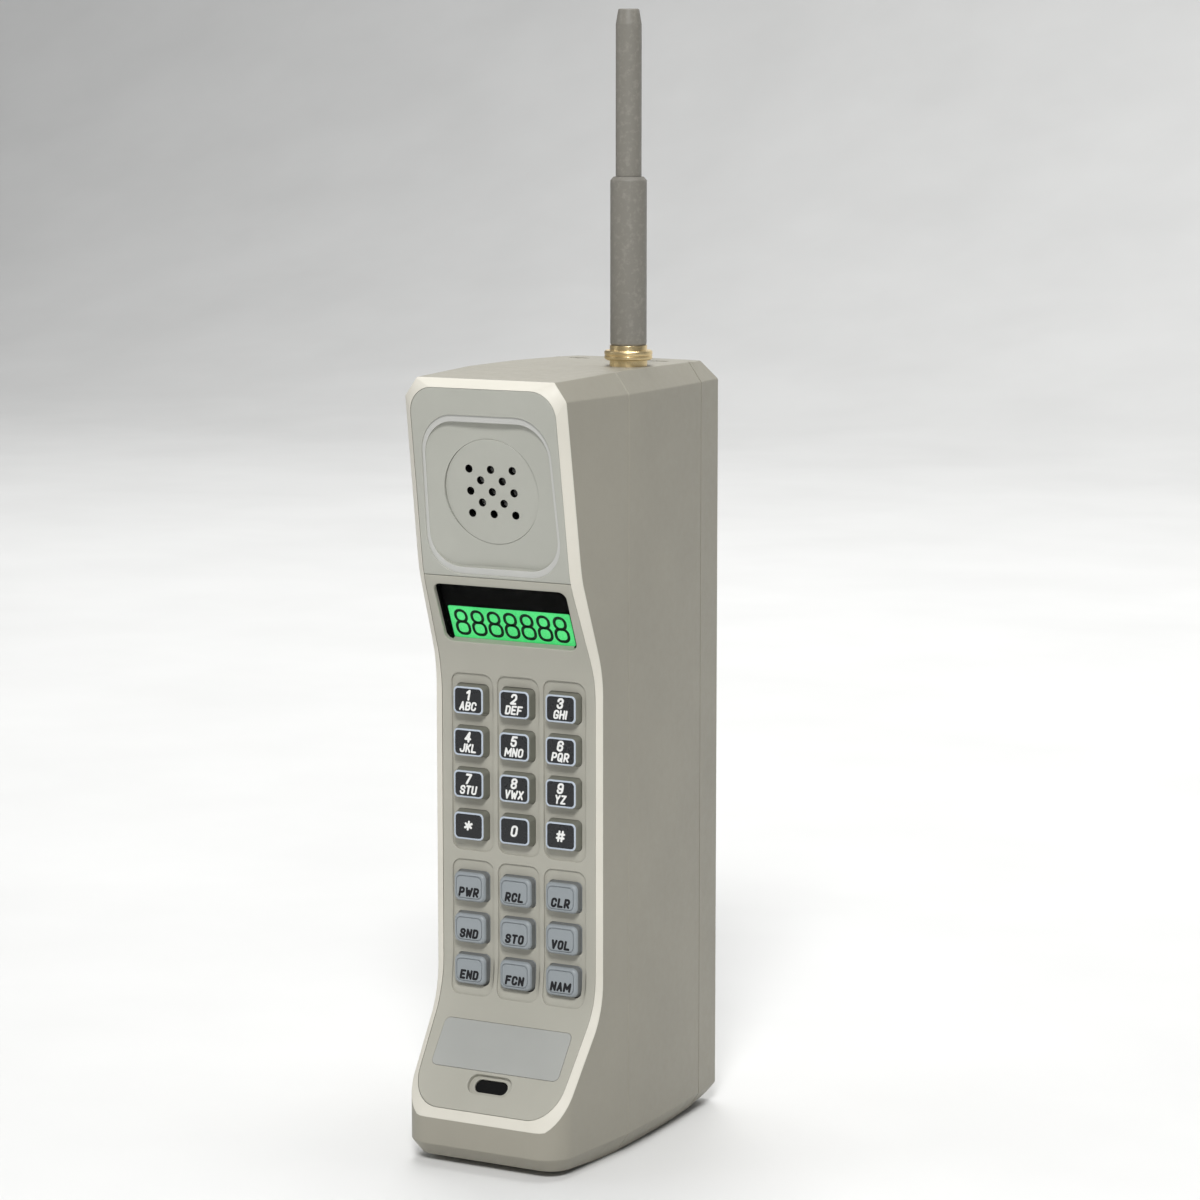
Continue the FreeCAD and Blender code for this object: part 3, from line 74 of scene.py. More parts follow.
class Shader:
    """Small builder for one procedural material."""

    def __init__(self, name):
        self.material = bpy.data.materials.new(name)
        self.material.use_nodes = True
        self.tree = self.material.node_tree
        self.tree.nodes.clear()
        self.output = self.node("ShaderNodeOutputMaterial")
        self.surface = self.node("ShaderNodeBsdfPrincipled")
        self.link(self.surface, "BSDF", self.output, "Surface")
        self.coords = self.node("ShaderNodeTexCoord")

    def node(self, kind, **settings):
        """New node; each setting is one of its attributes or inputs, with _ for a space."""
        made = self.tree.nodes.new(kind)
        for key, value in settings.items():
            if hasattr(made, key):
                setattr(made, key, value)
            else:
                made.inputs[key.replace("_", " ")].default_value = value
        return made

    def link(self, source, source_socket, target, target_socket):
        self.tree.links.new(source.outputs[source_socket], target.inputs[target_socket])

    def set(self, **values):
        """Fixed values of the surface's inputs."""
        for key, value in values.items():
            self.surface.inputs[key.replace("_", " ")].default_value = value

    def noise(self, scale, detail=4.0, roughness=0.55, stretch=None):
        """Noise in object space; stretch scales the axes for brushed or streaked looks."""
        noise = self.node("ShaderNodeTexNoise", Scale=scale, Detail=detail, Roughness=roughness)
        if stretch:
            mapping = self.node("ShaderNodeMapping", Scale=stretch)
            self.link(self.coords, "Object", mapping, "Vector")
            self.link(mapping, "Vector", noise, "Vector")
        else:
            self.link(self.coords, "Object", noise, "Vector")
        return noise

    def ramp(self, source, low, high, low_value=0.0, high_value=1.0, socket="Fac"):
        """Remap a value from low..high to low_value..high_value, clamped."""
        remap = self.node(
            "ShaderNodeMapRange", From_Min=low, From_Max=high, To_Min=low_value, To_Max=high_value
        )
        self.link(source, socket, remap, "Value")
        return remap

    def mix(self, factor, first, second):
        """Mix two colours, each a tuple or another mix, by a factor node."""
        mix = self.node("ShaderNodeMix", data_type="RGBA")
        self.link(factor, 0, mix, "Factor")
        for value, socket in ((first, 6), (second, 7)):
            if isinstance(value, tuple):
                mix.inputs[socket].default_value = (*value, 1.0)
            else:
                self.tree.links.new(value.outputs[2], mix.inputs[socket])
        return mix

    def blend(self, noise, low, high, first, second, most=1.0):
        """Colour that goes from the first to the second as the noise goes from low to high."""
        return self.mix(self.ramp(noise, low, high, 0.0, most), first, second)

    def edge_mask(self, radius):
        """1 on convex edges and 0 on flat faces, from the bevelled normal."""
        bevel = self.node("ShaderNodeBevel", samples=6, Radius=radius)
        geometry = self.node("ShaderNodeNewGeometry")
        dot = self.node("ShaderNodeVectorMath", operation="DOT_PRODUCT")
        self.link(bevel, "Normal", dot, 0)
        self.link(geometry, "Normal", dot, 1)
        return self.ramp(dot, 0.97, 0.80, socket="Value")

    def color(self, mix, socket="Base Color"):
        self.tree.links.new(mix.outputs[2], self.surface.inputs[socket])

    def gloss(self, noise, low, high, least, most):
        """Roughness that follows a noise."""
        self.link(self.ramp(noise, low, high, least, most), "Result", self.surface, "Roughness")

    def relief(self, source, strength, distance, socket="Fac"):
        """Fine relief of the surface."""
        bump = self.node("ShaderNodeBump", Strength=strength, Distance=distance)
        self.link(source, socket, bump, "Height")
        self.link(bump, "Normal", self.surface, "Normal")


def shade(color, factor, lift=0.0):
    """A lighter or darker copy of a colour."""
    return tuple(min(1.0, channel * factor + lift) for channel in color)


def moulded_plastic(name, color, roughness, grain=0.35, wear=0.35, specular=0.45):
    """Injection-moulded plastic: fine grain, slight mottling, handled and paler edges."""
    shader = Shader(name)
    mottle = shader.noise(35.0, detail=5.0)
    body = shader.blend(mottle, 0.35, 0.65, shade(color, 0.97), shade(color, 1.03))
    scuffs = shader.noise(420.0, detail=6.0, roughness=0.7)
    edge = shader.edge_mask(0.5 * MM)
    rubbed = shader.node("ShaderNodeMath", operation="MULTIPLY")
    shader.link(edge, "Result", rubbed, 0)
    shader.link(shader.ramp(scuffs, 0.4, 0.6, 0.0, wear), "Result", rubbed, 1)
    shader.color(shader.mix(rubbed, body, shade(color, 1.18, 0.02)))
    shader.gloss(scuffs, 0.3, 0.7, roughness - 0.06, roughness + 0.08)
    shader.relief(shader.noise(2600.0, detail=3.0, roughness=0.6), grain, 0.05 * MM)
    shader.set(Specular_IOR_Level=specular)
    return shader.material


def metal(name, color, roughness):
    """Turned, drawn or brushed metal with fine lines and a little tarnish."""
    shader = Shader(name)
    stain = shader.noise(180.0, detail=5.0)
    shader.color(shader.blend(stain, 0.5, 0.75, color, shade(color, 0.62), most=0.25))
    lines = shader.noise(900.0, detail=2.0, stretch=(1.0, 1.0, 40.0))
    shader.gloss(lines, 0.3, 0.7, roughness - 0.05, roughness + 0.1)
    shader.relief(lines, 0.15, 0.02 * MM)
    shader.set(Metallic=1.0)
    return shader.material


def rubber(name, color, roughness):
    """Satin rubber with dust-light speckle and faint drag marks along its length."""
    shader = Shader(name)
    speckle = shader.noise(700.0, detail=6.0, roughness=0.7)
    shader.color(shader.blend(speckle, 0.5, 0.72, color, shade(color, 1.5, 0.03), most=0.5))
    drag = shader.noise(500.0, detail=3.0, stretch=(6.0, 6.0, 0.4))
    shader.gloss(drag, 0.3, 0.7, roughness - 0.1, roughness + 0.08)
    shader.relief(drag, 0.2, 0.03 * MM)
    return shader.material


def clear_window(name):
    """Clear acrylic: seen straight through, with a soft reflection and a few hairline marks."""
    shader = Shader(name)
    marks = shader.noise(900.0, detail=2.0, stretch=(1.0, 8.0, 8.0))
    shader.gloss(marks, 0.55, 0.8, 0.02, 0.10)
    shader.color(shader.blend(marks, 0.3, 0.7, (0.001, 0.001, 0.001), (0.004, 0.004, 0.004)))
    shader.set(Alpha=0.05, IOR=1.2, Specular_IOR_Level=0.15)
    return shader.material


def lit_display(name):
    """Green display cell, lit from behind a little unevenly."""
    shader = Shader(name)
    glow = shader.blend(shader.noise(60.0, detail=2.0), 0.3, 0.7, (0.03, 0.50, 0.12), (0.08, 0.66, 0.19))
    shader.color(glow)
    shader.color(glow, "Emission Color")
    shader.gloss(shader.noise(3000.0, detail=2.0), 0.3, 0.7, 0.22, 0.32)
    shader.set(Emission_Strength=0.55)
    return shader.material


def circuit_board(name):
    """Green solder mask with faint track relief."""
    shader = Shader(name)
    tracks = shader.noise(260.0, detail=1.0, stretch=(1.0, 1.0, 0.2))
    mask = shader.ramp(tracks, 0.48, 0.52)
    shader.color(shader.mix(mask, (0.02, 0.12, 0.05), (0.04, 0.20, 0.08)))
    shader.gloss(tracks, 0.4, 0.6, 0.3, 0.4)
    shader.relief(mask, 0.3, 0.05 * MM, socket="Result")
    return shader.material


def ink(name, color, roughness):
    """Printed or moulded-in legend colour with slight unevenness."""
    shader = Shader(name)
    blot = shader.noise(1500.0, detail=4.0)
    shader.color(shader.blend(blot, 0.35, 0.7, color, shade(color, 0.86, 0.01)))
    shader.gloss(blot, 0.3, 0.7, roughness - 0.08, roughness + 0.08)
    shader.set(Specular_IOR_Level=0.15)
    return shader.material


# Colour, roughness and what is special of each plastic, metal, rubber and ink.
PLASTICS = {
    "shell_plastic": ((0.31, 0.293, 0.242), 0.50, {}),
    "panel_plastic": ((0.38, 0.37, 0.318), 0.52, {}),
    "earpiece_plastic": ((0.39, 0.392, 0.349), 0.48, {}),
    "display_black": ((0.001, 0.001, 0.001), 0.6, {"wear": 0.0, "specular": 0.08}),
    "plate_grey": ((0.355, 0.36, 0.34), 0.42, {"grain": 0.12, "wear": 0.1}),
    "microphone_black": ((0.003, 0.003, 0.003), 0.7, {"wear": 0.0, "specular": 0.15}),
    "cell_jacket": ((0.04, 0.14, 0.32), 0.3, {"grain": 0.05}),
    "number_key_plastic": ((0.165, 0.165, 0.135), 0.42, {"wear": 0.2}),
    "function_key_plastic": ((0.27, 0.295, 0.31), 0.45, {"wear": 0.25}),
    "function_key_side": ((0.150, 0.157, 0.158), 0.45, {"wear": 0.1}),
    # Lighter copy of the shell for the bevelled strip round the panels: painted highlight where the strip
    # faces the light.
    "bevel_cream": ((0.64, 0.615, 0.54), 0.5, {}),
    # Lighter copy of the earpiece plastic for its flat band: painted highlight.
    "earpiece_rim": ((0.475, 0.475, 0.452), 0.5, {}),
    "tile_black": ((0.012, 0.013, 0.015), 0.28, {"grain": 0.1, "wear": 0.0}),
    "tile_border": ((0.46, 0.515, 0.585), 0.4, {"grain": 0.1, "wear": 0.1}),
}
METALS = {
    "receiver_metal": ((0.62, 0.62, 0.60), 0.4, {}),
    "screw_steel": ((0.60, 0.60, 0.62), 0.35, {}),
    "tinned_steel": ((0.70, 0.70, 0.68), 0.45, {}),
    "spacer_aluminium": ((0.74, 0.74, 0.75), 0.35, {}),
    "filter_aluminium": ((0.72, 0.71, 0.66), 0.4, {}),
    "antenna_brass": ((0.86, 0.68, 0.38), 0.3, {}),
    "core_steel": ((0.55, 0.55, 0.56), 0.35, {}),
    "contact_brass": ((0.88, 0.70, 0.36), 0.25, {}),
}
RUBBERS = {
    "foam": ((0.03, 0.03, 0.03), 0.9, {}),
    "mat_rubber": ((0.05, 0.055, 0.06), 0.62, {}),
    "antenna_rubber": ((0.19, 0.18, 0.155), 0.5, {}),
}
INKS = {
    "legend_white": ((0.82, 0.82, 0.80), 0.5, {}),
    "legend_black": ((0.012, 0.012, 0.014), 0.5, {}),
    "segment_dark": ((0.001, 0.022, 0.006), 0.5, {}),
}


def build_materials():
    """One material per slot of the record, and a few for second colours and printed details."""
    made = {
        "window_clear": clear_window("window_clear"),
        "display_green": lit_display("display_green"),
        "circuit_board": circuit_board("circuit_board"),
    }
    for make, table in ((moulded_plastic, PLASTICS), (metal, METALS), (rubber, RUBBERS), (ink, INKS)):
        for name, (color, roughness, extra) in table.items():
            made[name] = make(name, color, roughness, **extra)
    return made


MATERIALS = build_materials()


# ---------------------------------------------------------------- flat outlines

def rounded_path(corners, steps=8):
    """Points along a line of (a, b, radius) corners, each rounded by a tangent arc."""
    points = []
    last = len(corners) - 1
    for index, (a, b, radius) in enumerate(corners):
        here = Vector((a, b))
        if not radius or index in (0, last):
            points.append(here)
            continue
        back = (Vector(corners[index - 1][:2]) - here).normalized()
        ahead = (Vector(corners[index + 1][:2]) - here).normalized()
        half = back.angle(ahead) / 2
        enter = here + back * (radius / math.tan(half))
        leave = here + ahead * (radius / math.tan(half))
        center = here + (back + ahead).normalized() * (radius / math.sin(half))
        start = math.atan2(enter.y - center.y, enter.x - center.x)
        end = math.atan2(leave.y - center.y, leave.x - center.x)
        sweep = (end - start + math.pi) % (2 * math.pi) - math.pi
        for step in range(steps + 1):
            angle = start + sweep * step / steps
            points.append(center + Vector((math.cos(angle), math.sin(angle))) * radius)
    return points


def rounded_rectangle(width, height, radius, center=(0.0, 0.0), corner_steps=6, side_steps=4):
    """Closed loop of a rounded rectangle, with evenly divided corners and sides."""
    points = []
    for quarter, (sign_x, sign_y) in enumerate(((1, -1), (1, 1), (-1, 1), (-1, -1))):
        axis = Vector((sign_x * (width / 2 - radius), sign_y * (height / 2 - radius)))
        first = math.radians(-90 + 90 * quarter)
        for step in range(corner_steps + 1):
            angle = first + math.pi / 2 * step / corner_steps
            points.append(axis + Vector((math.cos(angle), math.sin(angle))) * radius)
        next_sign = ((1, 1), (-1, 1), (-1, -1), (1, -1))[quarter]
        next_axis = Vector((next_sign[0] * (width / 2 - radius), next_sign[1] * (height / 2 - radius)))
        turn = first + math.pi / 2
        start = points[-1]
        end = next_axis + Vector((math.cos(turn), math.sin(turn))) * radius
        points.extend(start.lerp(end, step / side_steps) for step in range(1, side_steps))
    return [point + Vector(center) for point in points]


def circle(radius, center=(0.0, 0.0), count=48):
    """Closed loop of a circle."""
    angles = [2 * math.pi * step / count for step in range(count)]
    return [Vector(center) + Vector((math.cos(angle), math.sin(angle))) * radius for angle in angles]


def nested(size, radius, center=(0.0, 0.0), direction=1):
    """Maker of parallel rounded rectangles, moved outwards by an offset, or inwards with direction -1."""
    def loop_of(offset):
        grow = direction * offset
        return rounded_rectangle(size[0] + 2 * grow, size[1] + 2 * grow, radius + grow, center)
    return loop_of


def flipped(point):
    """The point on the other side of the middle plane."""
    return Vector((-point[0], *point[1:]))


def is_inside(point, loop):
    """Whether a flat point lies inside a closed loop."""
    inside = False
    for first, second in zip(loop, [*loop[1:], loop[0]]):
        if (first.y > point.y) != (second.y > point.y):
            crossing = first.x + (second.x - first.x) * (point.y - first.y) / (second.y - first.y)
            if point.x < crossing:
                inside = not inside
    return inside


class Profile:
    """Side-view line of (y, z) points from the foot up, measured by its length."""

    def __init__(self, corners, steps=8):
        self.points = rounded_path(corners, steps)
        self.lengths = [0.0]
        for first, second in zip(self.points, self.points[1:]):
            self.lengths.append(self.lengths[-1] + (second - first).length)
        self.tangents = []
        for index in range(len(self.points)):
            low = self.points[max(index - 1, 0)]
            high = self.points[min(index + 1, len(self.points) - 1)]
            self.tangents.append((high - low).normalized())

    def at(self, length):
        """Point and outward direction at a distance along the line."""
        index = 0
        while index < len(self.lengths) - 2 and self.lengths[index + 1] < length:
            index += 1
        span = self.lengths[index + 1] - self.lengths[index]
        share = (length - self.lengths[index]) / span
        point = self.points[index].lerp(self.points[index + 1], share)
        blend = min(max(share, 0.0), 1.0)
        if span > 5.0:
            tangent = (self.points[index + 1] - self.points[index]).normalized()
        else:
            tangent = self.tangents[index].lerp(self.tangents[index + 1], blend).normalized()
        return point, Vector((-tangent.y, tangent.x))

    def length_at(self, z):
        """Distance along the line at height z."""
        index = 0
        while index < len(self.points) - 2 and self.points[index + 1].y < z:
            index += 1
        low, high = self.points[index], self.points[index + 1]
        return self.lengths[index] + (high - low).length * (z - low.y) / (high.y - low.y)

    def y_at(self, z):
        """Depth of the line at height z."""
        return self.at(self.length_at(z))[0].x


# ---------------------------------------------------------------- driving dimensions, in millimetres

# Body.
SEAM_HALF_WIDTH = 24.4
SIDE_TAPER = 0.078
CHAMFER_INSET = 3.3
FOOT_Z = 4.9
SHOULDER_Z = 188.9
TOP_FRONT_Z = 193.5
TOP_SEAM_Z = 194.2
PACK_SEAM_Y = 41.5
PACK_SEAM_X = 22.8
WALL = 2.0

# Back of the battery pack.
PACK_FRONT_Y = 43.2
PACK_CORNER_Y = 53.5
PACK_CORNER_X = 21.5
PACK_BACK_Y = 55.48
PACK_WALL = 1.6

# Front face, side view, from the chin up.
FACE = Profile([
    (-31.3, 14.2, 0), (-12.0, 39.93, 22), (-12.0, 120.2, 30), (-22.5, 145.2, 30), (-29.6, 191.6, 0),
])
EDGE = Profile([
    (-36.0, 5.7, 0), (-11.6, 38.23, 22), (-11.6, 122.0, 30), (-20.65, 145.2, 40), (-28.04, 193.5, 0),
])
PANEL_WIDTHS = ((14.2, 20.1), (39.93, 21.6), (120.2, 21.6), (145.2, 20.4), (191.6, 20.0))
PANEL_FOOT_Z = 14.5
PANEL_TOP_Z = 191.3
PANEL_SPLIT_Z = 144.9
SPLIT_HALF_GAP = 0.05
PANEL_FOOT_RADIUS = 8.0
PANEL_TOP_RADIUS = 6.5
PANEL_THICKNESS = 2.2
GAP = 0.06
LIP = 0.25
LIP_STEPS = 3

# Chin.
CHIN_RADIUS = 8.0
CHIN_Y = -32.0
CHIN_TOP_Z = 12.0
CHIN_AXIS_Y = CHIN_Y + CHIN_RADIUS
CHIN_FOOT_Z = 5.2
CHIN_BOTTOM_Y = -28.8
CHIN_BOTTOM_Z = 1.6
FLAT_BOTTOM_Y = -8.0


def half_width(y):
    """Half the body's width ahead of the shell seam."""
    return SEAM_HALF_WIDTH + SIDE_TAPER * y


def panel_half_width(z):
    """Half the width of the inset panels at height z."""
    for (low_z, low), (high_z, high) in zip(PANEL_WIDTHS, PANEL_WIDTHS[1:]):
        if z <= high_z:
            return low + (high - low) * (z - low_z) / (high_z - low_z)
    return PANEL_WIDTHS[-1][1]


def panel_loop(low_z, high_z, inset, low_radius, high_radius):
    """Front-view loop of an inset panel, divided finely where the face bends."""
    heights = [z for z, _ in PANEL_WIDTHS if low_z + 1 < z < high_z - 1]
    low = low_z + inset
    high = high_z - inset
    corners = [(0.0, low, 0), (panel_half_width(low_z) - inset, low, max(low_radius - inset, 0))]
    corners += [(panel_half_width(z) - inset, z, 0) for z in heights]
    corners += [(panel_half_width(high_z) - inset, high, max(high_radius - inset, 0)), (0.0, high, 0)]
    path = rounded_path(corners, 10)
    bends = [point.y for point in FACE.points]
    right = [path[0]]
    for first, second in zip(path, path[1:]):
        crossings = sorted(z for z in bends if first.y + 0.05 < z < second.y - 0.05)
        right.extend(first.lerp(second, (z - first.y) / (second.y - first.y)) for z in crossings)
        right.append(second)
    left = [flipped(point) for point in reversed(right[1:-1])]
    return [Vector((point.x, FACE.length_at(point.y))) for point in right + left]


def on_face(height):
    """Placer that puts flat (x, length) points on the front face, raised by a height."""
    def place(point):
        spot, outward = FACE.at(point[1])
        return Vector((point[0], spot.x + outward.x * height, spot.y + outward.y * height))
    return place


# ---------------------------------------------------------------- mesh builder

WELD_DISTANCE = 0.002
SHARP_ANGLE = 35.0
ROUNDING_SEGMENTS = 3


class Builder:
    """Collects the faces of one piece; its points are in millimetres."""

    def __init__(self):
        self.mesh = bmesh.new()
        self.weights = self.mesh.edges.layers.float.new("bevel_weight_edge")

    def ring(self, points, place=None):
        """Vertices for a loop or line of points."""
        if place:
            points = [place(point) for point in points]
        return [self.mesh.verts.new(Vector(point) * MM) for point in points]

    def band(self, lower, upper, closed=True, material=0):
        """Quads between two rings of equal length."""
        count = len(lower)
        for index in range(count if closed else count - 1):
            after = (index + 1) % count
            corners = list(dict.fromkeys((lower[index], lower[after], upper[after], upper[index])))
            self.face(corners, material)

    def bands(self, rings, closed=True, material=0):
        """Quads between each ring and the next."""
        for lower, upper in zip(rings, rings[1:]):
            self.band(lower, upper, closed, material)

    def face(self, corners, material=0):
        """One flat face."""
        made = self.mesh.faces.new(corners)
        made.material_index = material
        return made

    def sheet(self, outer, holes, place, rows=()):
        """Face with holes; the loops are flat points, and rows are extra lines that follow a bend."""
        points = []
        edges = []
        loops = [outer, *holes]
        for index, line in enumerate([*loops, *rows]):
            start = len(points)
            points.extend(line)
            edges.extend((start + step, start + step + 1) for step in range(len(line) - 1))
            if index < len(loops):
                edges.append((start + len(line) - 1, start))
        flat, _, triangles, *_ = delaunay_2d_cdt(points, edges, [], 0, 1e-6)
        verts = self.ring(flat, place)
        for triangle in triangles:
            middle = sum((flat[index] for index in triangle), Vector((0.0, 0.0))) / 3
            if is_inside(middle, outer) and not any(is_inside(middle, hole) for hole in holes):
                self.face([verts[index] for index in triangle])

    def soften(self, ring, closed=True, amount=1.0):
        """Mark the edges along a ring for rounding."""
        pairs = zip(ring, [*ring[1:], ring[0]]) if closed else zip(ring, ring[1:])
        for first, second in pairs:
            edge = self.mesh.edges.get((first, second))
            if edge:
                edge[self.weights] = amount

    def finish(self, name, node, materials, rounding=0.0, cutters=()):
        """Make the piece, riding with a CAD node: weld, round the marked edges, cut and shade."""
        bmesh.ops.remove_doubles(self.mesh, verts=self.mesh.verts, dist=WELD_DISTANCE * MM)
        bmesh.ops.dissolve_degenerate(self.mesh, dist=WELD_DISTANCE / 2 * MM, edges=self.mesh.edges)
        bmesh.ops.recalc_face_normals(self.mesh, faces=self.mesh.faces)
        mesh = bpy.data.meshes.new(name)
        self.mesh.to_mesh(mesh)
        self.mesh.free()
        for material in materials:
            mesh.materials.append(MATERIALS[material])
        if rounding or cutters:
            mesh = baked(mesh, rounding * MM, cutters)
        mesh.polygons.foreach_set("use_smooth", [True] * len(mesh.polygons))
        mesh.set_sharp_from_angle(angle=math.radians(SHARP_ANGLE))
        piece = bpy.data.objects.new(name, mesh)
        bpy.context.scene.collection.objects.link(piece)
        normals = piece.modifiers.new("flat_face_normals", "WEIGHTED_NORMAL")
        normals.keep_sharp = True
        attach(piece, BODY_OF_NODE[node])
        return piece

    def stand_for(self, node, *materials, **settings):
        """Finish the piece and let it stand for its CAD node."""
        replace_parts(self.finish(node + "_form", node, materials, **settings), node)


def baked(mesh, rounding, cutters):
    """The mesh with its marked edges rounded and the cutter meshes taken away."""
    helpers = []
    work = bpy.data.objects.new("work", mesh)
    helpers.append(work)
    if rounding:
        bevel = work.modifiers.new("rounding", "BEVEL")
        bevel.limit_method = "WEIGHT"
        bevel.width = rounding
        bevel.segments = ROUNDING_SEGMENTS
        bevel.use_clamp_overlap = False
        bevel.miter_outer = "MITER_ARC"
    for cutter in cutters:
        tool = bpy.data.objects.new("tool", cutter)
        helpers.append(tool)
        cut = work.modifiers.new("cut", "BOOLEAN")
        cut.object = tool
        cut.solver = "EXACT"
    for helper in helpers:
        bpy.context.scene.collection.objects.link(helper)
    bpy.context.view_layer.update()
    result = bpy.data.meshes.new_from_object(work.evaluated_get(bpy.context.evaluated_depsgraph_get()))
    for helper in helpers:
        bpy.data.objects.remove(helper)
    return result


def add_prism(work, outline, y_range):
    """Add a closed prism along y to a mesh in work; the outline holds (x, z) points."""
    ends = [[work.verts.new(Vector((x, y, z)) * MM) for x, z in outline] for y in y_range]
    for index in range(len(outline)):
        after = (index + 1) % len(outline)
        work.faces.new((ends[0][index], ends[0][after], ends[1][after], ends[1][index]))
    for end in ends:
        work.faces.new(end)


# Parting line between the shells: a hair-wide gap, and the rounding of its edges. The others take a share.
SEAM_GAP = 0.3
SEAM_ROUNDING = 0.42
EDGE_SHARE = 0.65
LIP_SHARE = 0.3


# ---------------------------------------------------------------- front housing

def plan_arc(angle, radius):
    """Point (x, y) on the rounded vertical corner of the chin; the angle is 0 at the front."""
    axis_x = half_width(CHIN_AXIS_Y) - CHIN_RADIUS
    return Vector((axis_x + radius * math.sin(angle), CHIN_AXIS_Y - radius * math.cos(angle)))


def underside_z(y):
    """Height of the underside at depth y."""
    stations = ((CHIN_BOTTOM_Y, CHIN_BOTTOM_Z), (FLAT_BOTTOM_Y, 0.0), (30.0, 0.0), (48.0, 1.2), (60.5, 3.5))
    for (low_y, low), (high_y, high) in zip(stations, stations[1:]):
        if y <= high_y:
            return low + (high - low) * (y - low_y) / (high_y - low_y)
    return stations[-1][1]


def foot_inset(z):
    """Inset of the foot chamfer at height z."""
    return CHAMFER_INSET * (FOOT_Z - z) / FOOT_Z


def shoulder_inset(z):
    """Inset of the shoulder chamfer at height z."""
    return CHAMFER_INSET * (z - SHOULDER_Z) / (TOP_FRONT_Z - SHOULDER_Z)


ARC_STEPS = 10
TOP_FRONT_Y = -27.3
FLANGE_WIDTH = 2.2


def front_edges(half):
    """Edges of the right half of the front shell, from the right half of the panels' outline.

    Returns the outer edge of the frame, the foot and underside lines of the chin, and the places in the
    edge where the chin's corner ends, the top corner begins and the top begins.
    """
    heights = [FACE.at(point.y)[0].y for point in half]
    chin_end = next(i for i, z in enumerate(heights) if z > heights[0] + 0.001) - 1
    corner_end = chin_end + ARC_STEPS
    top_start = next(i for i, z in enumerate(heights) if z > heights[-1] - 0.001)
    shoulder_start = top_start - ARC_STEPS
    shoulder_y = EDGE.y_at(SHOULDER_Z)
    shoulder = Vector((half_width(shoulder_y), shoulder_y, SHOULDER_Z))
    top_corner = Vector((half_width(TOP_FRONT_Y) - CHAMFER_INSET, TOP_FRONT_Y, TOP_FRONT_Z))
    top_middle = Vector((0.0, TOP_FRONT_Y, TOP_FRONT_Z))
    side_radius = CHIN_RADIUS - foot_inset(underside_z(CHIN_AXIS_Y))
    front_radius = CHIN_AXIS_Y - CHIN_BOTTOM_Y
    rim = []
    foot = []
    bottom = []
    for index, z in enumerate(heights):
        if index <= chin_end:
            x = plan_arc(0, CHIN_RADIUS).x * index / chin_end
            rim.append(Vector((x, CHIN_Y, CHIN_TOP_Z)))
            foot.append(Vector((x, CHIN_Y, CHIN_FOOT_Z)))
            bottom.append(Vector((x, CHIN_BOTTOM_Y, CHIN_BOTTOM_Z)))
        elif index <= corner_end:
            share = (index - chin_end) / ARC_STEPS
            angle = math.pi / 2 * share
            spot = plan_arc(angle, CHIN_RADIUS)
            low = plan_arc(angle, front_radius + (side_radius - front_radius) * share)
            rim.append(Vector((spot.x, spot.y, max(CHIN_TOP_Z, edge_z(spot.y)))))
            foot.append(Vector((spot.x, spot.y, CHIN_FOOT_Z + (FOOT_Z - CHIN_FOOT_Z) * share)))
            bottom.append(Vector((low.x, low.y, underside_z(low.y))))
        elif index < shoulder_start:
            low_z = heights[corner_end]
            share = (z - low_z) / (heights[shoulder_start] - low_z)
            edge_height = EDGE_Z_AT_CHIN + (SHOULDER_Z - EDGE_Z_AT_CHIN) * share
            y = EDGE.y_at(edge_height)
            rim.append(Vector((half_width(y), y, edge_height)))
        elif index <= top_start:
            rim.append(shoulder.lerp(top_corner, (index - shoulder_start) / ARC_STEPS))
        else:
            rim.append(top_corner.lerp(top_middle, (index - top_start) / (len(half) - 1 - top_start)))
    return rim, foot, bottom, (corner_end, shoulder_start, top_start)


def pocket(builder, loop, lip, rim):
    """Recess for the panels, the flange they lie on and the wall behind. Returns the wall's back points."""
    depth = PANEL_THICKNESS + GAP
    inner = panel_loop(PANEL_FOOT_Z, PANEL_TOP_Z, FLANGE_WIDTH, PANEL_FOOT_RADIUS, PANEL_TOP_RADIUS)
    floor_edge = builder.ring(loop, on_face(-depth))
    flange_front = builder.ring(inner, on_face(-depth))
    flange_back = builder.ring(inner, on_face(-depth - WALL))
    builder.bands([lip, floor_edge, flange_front, flange_back])
    wall_points = []
    for flat, edge in zip(loop, rim):
        spot = on_face(-depth - WALL)(flat)
        side = math.copysign(1.0, edge.x)
        x = side * min(abs(edge.x), half_width(spot.y)) - side * WALL * min(abs(edge.x) / WALL, 1.0)
        z = min(max(spot.z, underside_z(spot.y) + WALL), TOP_FRONT_Z - WALL)
        wall_points.append(Vector((x, spot.y, z)))
    wall = builder.ring(wall_points)
    builder.band(flange_back, wall)
    return wall, wall_points


def seam_face(builder, wall, wall_points):
    """Face that meets the rear shell. Returns its outer corners on the right and on the left."""
    def on_seam(point):
        return Vector((point[0], -SEAM_GAP, point[1]))

    seam_half = half_width(-SEAM_GAP)
    outer = [
        Vector((seam_half - CHAMFER_INSET, 0.0)),
        Vector((seam_half, FOOT_Z)),
        Vector((seam_half, SHOULDER_Z)),
        Vector((seam_half - shoulder_inset(TOP_SEAM_Z), TOP_SEAM_Z)),
    ]
    far_side = [flipped(point) for point in outer]
    right = builder.ring(outer, on_seam)
    left = builder.ring(far_side, on_seam)
    inner = [Vector((point.x, point.z)) for point in wall_points]
    builder.band(wall, builder.ring(inner, on_seam))
    builder.sheet(outer + far_side[::-1], [inner], on_seam)
    return right, left


